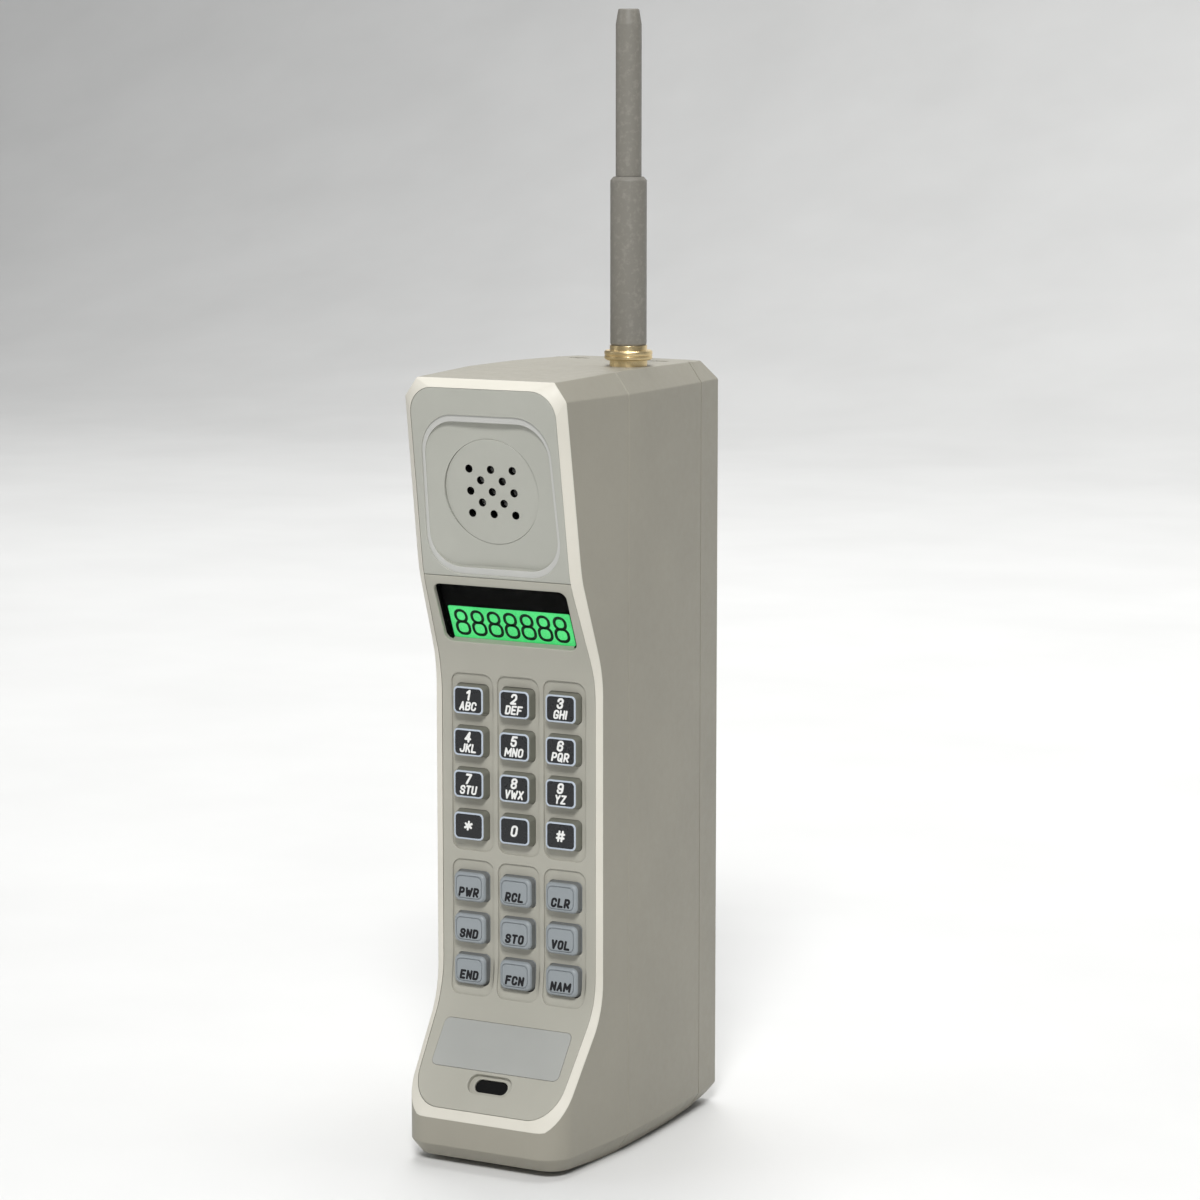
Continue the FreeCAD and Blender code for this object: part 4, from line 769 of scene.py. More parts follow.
def front_housing():
    """Front shell: bevelled frame round the panels, sides, shoulders, chin and the wall behind them."""
    builder = Builder()
    loop = panel_loop(PANEL_FOOT_Z, PANEL_TOP_Z, -GAP, PANEL_FOOT_RADIUS, PANEL_TOP_RADIUS)
    half = loop[:len(loop) // 2 + 1]
    right_rim, foot, bottom, (corner_end, shoulder_start, top_start) = front_edges(half)
    rim = right_rim + [flipped(point) for point in reversed(right_rim[1:-1])]
    lip = builder.ring(loop, on_face(0.0))
    strip = builder.ring(rim)
    # The bevelled strip takes the lighter second material: a painted highlight along the frame.
    builder.band(lip, strip, material=1)
    wall, wall_points = pocket(builder, loop, lip, rim)
    seam_right, seam_left = seam_face(builder, wall, wall_points)

    # Chin, foot and underside of the chin.
    count = len(half)
    right_strip = strip[:count]
    left_strip = [strip[-index] for index in range(count)]
    foot_ring = builder.ring([flipped(point) for point in reversed(foot[1:])] + foot)
    bottom_ring = builder.ring([flipped(point) for point in reversed(bottom[1:])] + bottom)
    chin_strip = left_strip[corner_end:0:-1] + right_strip[:corner_end + 1]
    builder.bands([chin_strip, foot_ring, bottom_ring], closed=False)
    builder.soften(foot_ring, closed=False, amount=EDGE_SHARE)

    # Sides, shoulders and foot chamfers.
    flat_bottom = []
    for side, run, seam, end in ((1, right_strip, seam_right, -1), (-1, left_strip, seam_left, 0)):
        foot_end = foot_ring[end]
        bottom_end = bottom_ring[end]
        foot_middle, bottom_middle = builder.ring([
            (side * half_width(FLAT_BOTTOM_Y), FLAT_BOTTOM_Y, FOOT_Z),
            (side * (half_width(FLAT_BOTTOM_Y) - CHAMFER_INSET), FLAT_BOTTOM_Y, 0.0),
        ])
        bottom_corner, foot_corner, shoulder_corner, top_corner = seam
        side_run = run[corner_end:shoulder_start + 1]
        builder.face([*side_run, shoulder_corner, foot_corner, foot_middle, foot_end])
        builder.face([*run[shoulder_start:top_start + 1], top_corner, shoulder_corner])
        builder.face([foot_end, foot_middle, bottom_middle, bottom_end])
        builder.face([foot_middle, foot_corner, bottom_corner, bottom_middle])
        for line in (
            [foot_end, foot_middle, foot_corner], [run[shoulder_start], shoulder_corner],
            [run[top_start], top_corner],
        ):
            builder.soften(line, closed=False, amount=EDGE_SHARE)
        builder.soften(seam[1:], closed=False)
        flat_bottom.append(bottom_middle)

    # Top and underside.
    top_run = left_strip[top_start:count - 1] + right_strip[:top_start - 1:-1]
    builder.face([*top_run, seam_right[3], seam_left[3]])
    builder.soften([seam_right[3], seam_left[3]], closed=False)
    builder.face([*bottom_ring, *flat_bottom])
    builder.face([flat_bottom[0], seam_right[0], seam_left[0], flat_bottom[1]])
    builder.soften(bottom_ring, closed=False, amount=EDGE_SHARE)
    builder.soften(strip, amount=EDGE_SHARE)
    builder.soften(lip, amount=LIP_SHARE)
    builder.stand_for("front_housing", "shell_plastic", "bevel_cream", rounding=SEAM_ROUNDING)


def edge_z(y):
    """Height of the side edge on the ramp at depth y."""
    low, high = EDGE.points[0], EDGE.points[1]
    return low.y + (high.y - low.y) * (y - low.x) / (high.x - low.x)


EDGE_Z_AT_CHIN = edge_z(CHIN_AXIS_Y)


# ---------------------------------------------------------------- rear housing and battery pack

def roof_z(y):
    """Height of the top behind the seam."""
    high_y, far_y = 22.0, 60.5
    return TOP_SEAM_Z - max(0.0, y - high_y) / (far_y - high_y) * (TOP_SEAM_Z - TOP_FRONT_Z)


def bow_x(y):
    """Half width of the gently bowed rear sides."""
    stations = ((0.0, SEAM_HALF_WIDTH), (22.0, 24.0), (PACK_SEAM_Y, PACK_SEAM_X))
    value = 0.0
    for index, (here, width) in enumerate(stations):
        term = width
        for other, (there, _) in enumerate(stations):
            if other != index:
                term *= (y - there) / (here - there)
        value += term
    return value


def hollow_body(builder, line, wall, back_wall):
    """Hollow slice of the body, open to the front. Returns its outer levels and the rim of its opening.

    line holds (x, y, inset x, inset y) from the front to the middle of the back: where each point is
    and how it moves per millimetre of inset.
    """
    def shell(wall, back_wall):
        levels = []
        for level in range(4):
            ring = []
            for x, y, inset_x, inset_y in line:
                z_low = underside_z(y)
                z_high = roof_z(y)
                inset, z = (
                    (foot_inset(z_low), z_low + wall),
                    (0.0, FOOT_Z + wall / 2),
                    (0.0, SHOULDER_Z - wall / 2),
                    (shoulder_inset(z_high), z_high - wall),
                )[level]
                inset += wall
                at_back = inset_y == 0 and y == line[-1][1]
                back = back_wall if at_back else 0.0
                ring.append(Vector((x - inset_x * inset, y - inset_y * inset - back, z)))
            levels.append(builder.ring(ring + [flipped(point) for point in reversed(ring[:-1])]))
        builder.bands(levels, closed=False)
        for cap in (levels[0], levels[-1]):
            count = len(cap)
            for index in range(count // 2):
                corners = (cap[index], cap[index + 1], cap[count - 2 - index], cap[count - 1 - index])
                builder.face(list(dict.fromkeys(corners)))
        return levels

    outer = shell(0.0, 0.0)
    inner = shell(wall, back_wall)
    rims = [
        [level[0] for level in levels] + [level[-1] for level in reversed(levels)]
        for levels in (outer, inner)
    ]
    builder.bands(rims)
    return outer, rims[0]


# Openings of the wall behind the battery pack.
REAR_WALL_Y = 38.0
SLOT_X = 11.5
SLOT_FLOOR_Y = 39.2
SLOT_LEDGE_Y = 40.5
SLOT_NECK_HALF = 1.7
SLOT_HEAD_HALF = 2.9
SLOT_LOW_Z = 21.9
CONTACT_X = 4.0
CONTACT_HALF = 1.5
CONTACT_RANGE_Z = (24.0, 40.0)
SCREW_SPOTS = [(x, z) for x in (-18.0, 18.0) for z in (10.5, 172.0)]
SCREW_SEAT_Y = 39.0
SCREW_SEAT_RADIUS = 3.1
PAST_Y = PACK_SEAM_Y + 2.0
PAST_Z = TOP_SEAM_Z + 5.0


def rear_wall_cutters():
    """Tools for the rear wall: necks of the rail slots with contacts and screw seats, then the slot heads."""
    def rectangle(x, half, low, high):
        return [(x - half, low), (x + half, low), (x + half, high), (x - half, high)]

    through = bmesh.new()
    heads = bmesh.new()
    for side in (-1, 1):
        neck = rectangle(side * SLOT_X, SLOT_NECK_HALF, SLOT_LOW_Z, PAST_Z)
        head = rectangle(side * SLOT_X, SLOT_HEAD_HALF, SLOT_LOW_Z, PAST_Z)
        contact = rectangle(side * CONTACT_X, CONTACT_HALF, *CONTACT_RANGE_Z)
        add_prism(through, neck, (SLOT_FLOOR_Y, PAST_Y))
        add_prism(through, contact, (REAR_WALL_Y - 1, PAST_Y))
        add_prism(heads, head, (SLOT_FLOOR_Y, SLOT_LEDGE_Y))
    for spot in SCREW_SPOTS:
        add_prism(through, circle(SCREW_SEAT_RADIUS, spot, 40), (SCREW_SEAT_Y, PAST_Y))
    tools = []
    for work in (through, heads):
        bmesh.ops.recalc_face_normals(work, faces=work.faces)
        mesh = bpy.data.meshes.new("rear_wall_cutter")
        work.to_mesh(mesh)
        work.free()
        tools.append(mesh)
    return tools


def rear_housing():
    """Rear shell with bowed sides; its rear wall has the rail slots, contact slots and screw seats."""
    builder = Builder()
    steps = 8
    depths = [PACK_SEAM_Y * step / steps for step in range(steps + 1)]
    line = [(bow_x(y), y, 1, 0) for y in depths] + [(0.0, PACK_SEAM_Y, 0, 0)]
    outer, rim = hollow_body(builder, line, WALL, PACK_SEAM_Y - REAR_WALL_Y)
    for level in outer:
        builder.soften(level[:steps + 1], closed=False, amount=EDGE_SHARE)
        builder.soften(level[-steps - 1:], closed=False, amount=EDGE_SHARE)
    for corner in (steps, -steps - 1):
        builder.soften([level[corner] for level in outer], closed=False)
    builder.soften(outer[-1][steps:-steps], closed=False)
    builder.soften(rim)
    builder.stand_for("rear_housing", "shell_plastic", rounding=SEAM_ROUNDING, cutters=rear_wall_cutters())


def battery_cover():
    """Rounded back of the battery pack."""
    builder = Builder()
    taper = (PACK_CORNER_X - PACK_SEAM_X) / (PACK_CORNER_Y - PACK_SEAM_Y)
    line = [(PACK_SEAM_X + taper * (PACK_FRONT_Y - PACK_SEAM_Y), PACK_FRONT_Y, 1, 0)]
    steps = 8
    for step in range(steps + 1):
        share = 1 - step / steps
        bulge = (PACK_BACK_Y - PACK_CORNER_Y) * (1 - share * share)
        line.append((PACK_CORNER_X * share, PACK_CORNER_Y + bulge, share, 1))
    outer, _ = hollow_body(builder, line, PACK_WALL, 0.0)
    for level in outer:
        builder.soften(level, closed=False, amount=EDGE_SHARE)
    for corner in (1, -2):
        builder.soften([level[corner] for level in outer], closed=False, amount=EDGE_SHARE)
    builder.stand_for("battery_cover", "shell_plastic", rounding=SEAM_ROUNDING)


# ---------------------------------------------------------------- front panels

def rounded_wall(builder, loop_of, place_at, top, bottom, lip, material=0):
    """Rounded edge at the top and a straight wall down to the bottom; loop_of(offset) gives the outline."""
    rings = []
    for step in range(LIP_STEPS + 1):
        angle = math.pi / 2 * step / LIP_STEPS
        offset = lip * (1 - math.sin(angle))
        drop = lip * (1 - math.cos(angle))
        rings.append(builder.ring(loop_of(offset), place_at(top - drop)))
    rings.append(builder.ring(loop_of(0.0), place_at(bottom)))
    builder.bands(rings, material=material)
    return rings


def wall_loops(builder, loop_of, top, bottom, lip=LIP, material=0):
    """Rounded wall of a panel or an opening in the front face. Returns its flat edge and floor loops."""
    rounded_wall(builder, loop_of, on_face, top, bottom, lip, material)
    return loop_of(lip), loop_of(0.0)


def bend_rows(low_z, high_z):
    """Lines across the panel wherever the face bends, so that its triangles follow the bend."""
    columns = 9
    rows = []
    for spot in FACE.points[1:-1]:
        if low_z + 0.6 < spot.y < high_z - 0.6:
            reach = panel_half_width(spot.y) - 1.0
            length = FACE.length_at(spot.y)
            rows.append([Vector((reach * (2 * step / (columns - 1) - 1), length)) for step in range(columns)])
    return rows


KEY_COLUMN_PITCH = 13.0
KEY_ROW_PITCH = 10.49
NUMBER_BLOCK_Z = 97.3
FUNCTION_BLOCK_Z = 55.65
GRIP_Y = -12.0
KEY_BASE = (9.2, 7.6)
KEY_RISE = 2.0
TILE_FACE = 1.95
CHANNEL_DEPTH = 0.5
CHANNEL_WIDTH = 11.6
CHANNEL_HEIGHTS = {"number": 44.4, "function": 34.0}
CHANNEL_RADIUS = 2.4
KEY_CLEARANCE = 0.2
WINDOW_SIZE = (37.0, 16.2)
WINDOW_RADIUS = 2.0
WINDOW_CENTER_Z = 135.2
GLASS_SIZE = (34.1, 8.9)
GLASS_UP = -3.6
GLASS_FACE = -2.05
PLATE_SIZE = (36.0, 12.9)
PLATE_RADIUS = 1.6
PLATE_SEAT_DEPTH = 0.5
PLATE_CENTER_Z = 28.3
MIC_SIZE = (12.1, 5.1)
MIC_RADIUS = 2.45
MIC_DEPTH = 1.2
MIC_SLOT = (9.2, 3.5)
MIC_SLOT_RADIUS = 1.7
MIC_CENTER_Z = 20.45
EAR_CENTER_Z = 165.2

# Earpiece: the dish with its flat band, and the disc in its seat.
EAR_OPENING = (37.6, 39.6)
EAR_OPENING_RADIUS = 9.5
EAR_NARROWING = 0.065
EAR_BAND_DROP = 0.4
DISH_SIZE = (36.0, 36.2)
DISH_RADIUS = 8.5
DISH_WALL_DROP = 0.495
DISH_SAG = 1.5
DISH_DEPTH = 2.0
SEAT_UP = 0.8
SEAT_RADIUS = 13.05
SEAT_FLOOR = -3.2
THROAT_RADIUS = 9.5
EAR_BLOCK = (28.0, 31.6)
EAR_BLOCK_BACK = -4.2
DISC_RADIUS = 13.0
DISC_FACE = -1.75
DISC_BACK = -3.15
SOUND_HOLE_RADIUS = 0.9
SOUND_HOLE_PITCH = (6.0, 2.75)


def key_spots():
    """Name, x, z and kind of every key, from the top left."""
    spots = []
    blocks = (
        ("number", list(NUMBER_LEGENDS), NUMBER_BLOCK_Z, 4),
        ("function", list(FUNCTION_LEGENDS), FUNCTION_BLOCK_Z, 3),
    )
    for kind, names, block_z, rows in blocks:
        for index, name in enumerate(names):
            row, column = divmod(index, 3)
            x = (column - 1) * KEY_COLUMN_PITCH
            z = block_z + ((rows - 1) / 2 - row) * KEY_ROW_PITCH
            spots.append((name, x, z, kind))
    return spots


def front_panel():
    """Keypad and display panel with its window, channels, plate seat and microphone recess."""
    builder = Builder()

    def outline(inset):
        return panel_loop(PANEL_FOOT_Z, PANEL_SPLIT_Z - SPLIT_HALF_GAP, inset, PANEL_FOOT_RADIUS, 0)

    def at_height(z):
        return (0, FACE.length_at(z))

    rim, edge = wall_loops(builder, outline, 0.0, -PANEL_THICKNESS)
    window = nested(WINDOW_SIZE, WINDOW_RADIUS, at_height(WINDOW_CENTER_Z))
    window_front, window_back = wall_loops(builder, window, 0.0, -PANEL_THICKNESS)
    seat = nested(PLATE_SIZE, PLATE_RADIUS, at_height(PLATE_CENTER_Z))
    seat_front, seat_floor = wall_loops(builder, seat, 0.0, -PLATE_SEAT_DEPTH, lip=0.15)
    builder.sheet(seat_floor, [], on_face(-PLATE_SEAT_DEPTH))
    recess = nested(MIC_SIZE, MIC_RADIUS, at_height(MIC_CENTER_Z))
    recess_front, recess_floor = wall_loops(builder, recess, 0.0, -MIC_DEPTH)
    mic_slot = rounded_rectangle(*MIC_SLOT, MIC_SLOT_RADIUS, at_height(MIC_CENTER_Z))
    builder.sheet(recess_floor, [mic_slot], on_face(-MIC_DEPTH))
    slot_front = builder.ring(mic_slot, on_face(-MIC_DEPTH))
    builder.band(slot_front, builder.ring(mic_slot, on_face(-PANEL_THICKNESS)))
    front_holes = [window_front, seat_front, recess_front]
    back_holes = [window_back, mic_slot]

    for kind, block_z in (("number", NUMBER_BLOCK_Z), ("function", FUNCTION_BLOCK_Z)):
        for column in (-1, 0, 1):
            x = column * KEY_COLUMN_PITCH
            size = (CHANNEL_WIDTH, CHANNEL_HEIGHTS[kind])
            channel = nested(size, CHANNEL_RADIUS, (x, FACE.length_at(block_z)))
            front, floor = wall_loops(builder, channel, 0.0, -CHANNEL_DEPTH)
            front_holes.append(front)
            hole = [side + KEY_CLEARANCE for side in KEY_BASE]
            openings = [
                rounded_rectangle(*hole, 1.3, (key_x, FACE.length_at(key_z)))
                for _, key_x, key_z, key_kind in key_spots() if key_kind == kind and abs(key_x - x) < 1
            ]
            builder.sheet(floor, openings, on_face(-CHANNEL_DEPTH))
            for opening in openings:
                upper = builder.ring(opening, on_face(-CHANNEL_DEPTH))
                builder.band(upper, builder.ring(opening, on_face(-PANEL_THICKNESS)))
            back_holes.extend(openings)

    rows = bend_rows(PANEL_FOOT_Z, PANEL_SPLIT_Z)
    builder.sheet(rim, front_holes, on_face(0.0), rows)
    builder.sheet(edge, back_holes, on_face(-PANEL_THICKNESS), rows)
    builder.stand_for("front_panel", "panel_plastic")


def earpiece_panel():
    """Head panel: a flat rim round a dished recess, with a round seat for the grille."""
    builder = Builder()
    center = (0.0, FACE.length_at(EAR_CENTER_Z))

    def outline(inset):
        return panel_loop(PANEL_SPLIT_Z + SPLIT_HALF_GAP, PANEL_TOP_Z, inset, 0, PANEL_TOP_RADIUS)

    def dish_outline(size, radius, grow):
        """Rounded outline of the dish, narrower towards its top."""
        width, height = (side + 2 * grow for side in size)
        loop = rounded_rectangle(width, height, radius + grow, center, corner_steps=12, side_steps=12)
        return [
            Vector((point.x * (1 - EAR_NARROWING * (0.5 + (point.y - center[1]) / EAR_OPENING[1])), point.y))
            for point in loop
        ]

    def opening(grow):
        return dish_outline(EAR_OPENING, EAR_OPENING_RADIUS, grow)

    rim, edge = wall_loops(builder, outline, 0.0, -PANEL_THICKNESS)
    front, lip = wall_loops(builder, opening, 0.0, -EAR_BAND_DROP, lip=0.2)
    builder.sheet(rim, [front], on_face(0.0), bend_rows(PANEL_SPLIT_Z, PANEL_TOP_Z))

    # Flat band and its rounded inner edge, in a lighter second material: a painted highlight on the band.
    inner = dish_outline(DISH_SIZE, DISH_RADIUS, 0.0)
    outer_ring = builder.ring(lip, on_face(-EAR_BAND_DROP))
    top_ring = builder.ring(dish_outline(DISH_SIZE, DISH_RADIUS, 0.15), on_face(-EAR_BAND_DROP))
    turn_ring = builder.ring(dish_outline(DISH_SIZE, DISH_RADIUS, 0.04), on_face(-EAR_BAND_DROP - 0.05))
    wall_ring = builder.ring(inner, on_face(-DISH_WALL_DROP))
    builder.bands([outer_ring, top_ring, turn_ring], material=1)
    builder.band(turn_ring, wall_ring)

    # Floor of the dish, a shallow cylinder along the face, down to the disc's seat and the throat.
    half = DISH_SIZE[0] / 2
    floor_radius = (half ** 2 + DISH_SAG ** 2) / (2 * DISH_SAG)

    def dish_floor(point):
        drop = DISH_DEPTH - (floor_radius - math.sqrt(floor_radius ** 2 - point[0] ** 2))
        return on_face(-drop)(point)

    seat_center = Vector(center) + Vector((0.0, SEAT_UP))
    directions = [(point - seat_center).normalized() for point in inner]
    seat = [seat_center + direction * SEAT_RADIUS for direction in directions]
    throat = [seat_center + direction * THROAT_RADIUS for direction in directions]
    steps = 6
    rings = [wall_ring]
    for step in range(steps + 1):
        rings.append(builder.ring([a.lerp(b, step / steps) for a, b in zip(inner, seat)], dish_floor))
    rings.append(builder.ring(seat, on_face(SEAT_FLOOR)))
    rings.append(builder.ring(throat, on_face(SEAT_FLOOR)))
    rings.append(builder.ring(throat, on_face(EAR_BLOCK_BACK)))
    builder.bands(rings)

    block = rounded_rectangle(*EAR_BLOCK, 4.0, center)
    builder.sheet(block, [throat], on_face(EAR_BLOCK_BACK))
    builder.band(builder.ring(block, on_face(EAR_BLOCK_BACK)), builder.ring(block, on_face(-PANEL_THICKNESS)))
    builder.sheet(edge, [block], on_face(-PANEL_THICKNESS))
    builder.stand_for("earpiece_panel", "earpiece_plastic", "earpiece_rim")


def earpiece_grille():
    """Sound disc with thirteen holes in rows of three and two."""
    builder = Builder()
    center = Vector((0.0, FACE.length_at(EAR_CENTER_Z) + SEAT_UP))

    def disc(inset):
        return circle(DISC_RADIUS - inset, center, 96)

    rim, edge = wall_loops(builder, disc, DISC_FACE, DISC_BACK, lip=0.2)
    front_holes = []
    back_holes = []
    for row in range(-2, 3):
        for column in (-1, 0, 1) if row % 2 == 0 else (-0.5, 0.5):
            spot = center + Vector((column * SOUND_HOLE_PITCH[0], row * SOUND_HOLE_PITCH[1]))

            def hole(grow):
                return circle(SOUND_HOLE_RADIUS + grow, spot, 20)

            # The lips and walls of the sound holes take the black second material: painted shade inside the
            # holes.
            front, through = wall_loops(builder, hole, DISC_FACE, DISC_BACK, lip=0.12, material=1)
            front_holes.append(front)
            back_holes.append(through)
    builder.sheet(rim, front_holes, on_face(DISC_FACE))
    builder.sheet(edge, back_holes, on_face(DISC_BACK))
    # Second material: black on the hole walls as painted shade.
    builder.stand_for("earpiece_grille", "earpiece_plastic", "display_black")


def rounded_slab(builder, loop_of, place_at, top, bottom, lip):
    """Closed plate with a rounded top edge; loop_of(inset) gives its outline."""
    rings = rounded_wall(builder, loop_of, place_at, top, bottom, lip)
    builder.face(rings[0])
    builder.face(list(reversed(rings[-1])))


def plate_on_face(node, material, size, radius, center, top, bottom, lip=0.1):
    """Flat plate lying in the front face, a little smaller than its seat."""
    builder = Builder()
    rounded_slab(builder, nested(size, radius, center, -1), on_face, top, bottom, lip)
    builder.stand_for(node, material)


PLATE_FIT = 0.05
GLASS_THICKNESS = 1.1


def smaller(size):
    """Size of a plate that drops into an opening of the given size."""
    return [side - 2 * PLATE_FIT for side in size]


def front_plates():
    """Window pane, display cell, name plate and microphone plug."""
    window_up = FACE.length_at(WINDOW_CENTER_Z)
    plate_on_face(
        "display_window", "window_clear", smaller(WINDOW_SIZE), WINDOW_RADIUS - PLATE_FIT,
        (0, window_up), -0.2, -1.0,
    )
    plate_on_face(
        "display_glass", "display_green", GLASS_SIZE, 0.5, (0, window_up + GLASS_UP),
        GLASS_FACE, GLASS_FACE - GLASS_THICKNESS, lip=0.08,
    )
    plate_on_face(
        "name_plate", "plate_grey", smaller(PLATE_SIZE), PLATE_RADIUS - PLATE_FIT,
        (0, FACE.length_at(PLATE_CENTER_Z)), 0.04, -0.48, lip=0.12,
    )
    plate_on_face(
        "microphone_grommet", "microphone_black", smaller(MIC_SLOT), MIC_SLOT_RADIUS - PLATE_FIT,
        (0, FACE.length_at(MIC_CENTER_Z)), -1.4, -3.0, lip=0.3,
    )


def display_digits():
    """Seven figures of dark strokes on the display, each an upper and a lower loop."""
    builder = Builder()
    count = 7
    pitch = 4.62
    stroke = 0.78
    turn = 1.8
    loops = (((4.25, 4.2), -1.6), ((3.8, 3.95), 1.68))
    front = on_face(GLASS_FACE + 0.03)
    back = on_face(GLASS_FACE + 0.005)
    for index in range(count):
        x = (index - (count - 1) / 2) * pitch
        for size, up in loops:
            line = nested(size, turn, (x, FACE.length_at(WINDOW_CENTER_Z) + GLASS_UP + up), -1)
            outer = line(0.0)
            inner = line(stroke)
            rings = [builder.ring(outer, front), builder.ring(inner, front)]
            rings += [builder.ring(inner, back), builder.ring(outer, back)]
            builder.bands([*rings, rings[0]])
    builder.finish("display_digits", "display_glass", ["segment_dark"])


# ---------------------------------------------------------------- keys and their legends

def on_grip(x, z):
    """Placers for one key: flat (across, up) points round its centre, raised from the grip face."""
    def place_at(height):
        return lambda point: Vector((x + point[0], GRIP_Y - height, z + point[1]))
    return place_at


FLANGE_SIZE = (KEY_BASE[0] + 1.4, KEY_BASE[1] + 1.2)
FLANGE_FRONT = -2.25
FLANGE_BACK = -3.05
STEM_BACK = -3.35
STEM_RADIUS = 1.6


def key_foot(builder, place_at, first):
    """Neck, flange and stem behind the cap, from the cap's lowest ring."""
    base = rounded_rectangle(*KEY_BASE, 1.2)
    flange = rounded_rectangle(*FLANGE_SIZE, 0.8)
    stem = [point.normalized() * STEM_RADIUS for point in base]
    sections = [
        (base, FLANGE_FRONT), (flange, FLANGE_FRONT), (flange, FLANGE_BACK),
        (stem, FLANGE_BACK), (stem, STEM_BACK),
    ]
    rings = [builder.ring(loop, place_at(rise)) for loop, rise in sections]
    builder.bands([first, *rings])
    builder.face(list(reversed(rings[-1])))


# Sections of a number key's cap as (size, corner radius, rise); the border's colour begins part of the way.
NUMBER_CAP = (
    (KEY_BASE, 1.2, -0.3), ((8.62, 7.02), 1.3, 1.45), ((8.52, 6.92), 1.28, 1.68), ((8.40, 6.80), 1.22, 1.85),
    ((8.20, 6.60), 1.12, 1.96), ((8.00, 6.40), 1.02, KEY_RISE), ((7.60, 6.00), 0.95, KEY_RISE),
    ((7.52, 5.92), 0.90, 1.95), ((7.52, 5.92), 0.90, 1.70),
)
BORDER_FROM = 3
TILE_SIZE = (7.46, 5.86)
TILE_RADIUS = 0.87
TILE_THICKNESS = 0.24


def number_key(name, x, z):
    """Drafted cap with a blue-grey border round a black tile."""
    node = "key_" + name
    place_at = on_grip(x, z)
    builder = Builder()
    rings = [
        builder.ring(rounded_rectangle(*size, radius), place_at(rise))
        for size, radius, rise in NUMBER_CAP
    ]
    builder.bands(rings[:BORDER_FROM + 1])
    builder.bands(rings[BORDER_FROM:], material=1)
    builder.face(rings[-1], 1)
    key_foot(builder, place_at, rings[0])
    builder.stand_for(node, "number_key_plastic", "tile_border")
    tile = Builder()
    outline = nested(TILE_SIZE, TILE_RADIUS, direction=-1)
    rounded_slab(tile, outline, place_at, TILE_FACE, TILE_FACE - TILE_THICKNESS, 0.1)
    tile.finish(node + "_tile", node, ["tile_black"])


SHOULDER_RISE = 0.95
SHOULDER_INSET = 0.72
SHOULDER_STEPS = 6
SIDE_BANDS = 2
# Groove round the face as (inset, rise).
KEY_GROOVE = ((0.88, 0.0), (0.94, -0.26), (1.08, -0.26), (1.14, 0.0))


def function_key(name, x, z):
    """Pillowed cap with darker sides and a fine groove round its face."""
    place_at = on_grip(x, z)
    builder = Builder()

    def section(inset, radius, rise):
        loop = rounded_rectangle(KEY_BASE[0] - 2 * inset, KEY_BASE[1] - 2 * inset, radius)
        return builder.ring(loop, place_at(rise))

    rings = [section(0.0, 1.3, -0.3)]
    for step in range(SHOULDER_STEPS + 1):
        angle = math.pi / 2 * step / SHOULDER_STEPS
        inset = SHOULDER_INSET * (1 - math.cos(angle)) + 0.1
        rise = SHOULDER_RISE + (KEY_RISE - SHOULDER_RISE) * math.sin(angle)
        rings.append(section(inset, 1.6 - inset * 0.3, rise))
    rings += [section(inset, 1.3, KEY_RISE + rise) for inset, rise in KEY_GROOVE]
    builder.bands(rings[:SIDE_BANDS + 1], material=1)
    builder.bands(rings[SIDE_BANDS:])
    builder.face(rings[-1])
    key_foot(builder, place_at, rings[0])
    builder.stand_for("key_" + name, "function_key_plastic", "function_key_side")


# Lettering: pen paths of every glyph as (across, up, rounding) corners; a capital is 1 high.
GLYPH_WIDTH = 0.56
TURN = 0.25
WIDE = 0.8


def path_of(*corners):
    """Pen path; a corner without a rounding is sharp."""
    return [(*corner, 0.0) if len(corner) == 2 else corner for corner in corners]


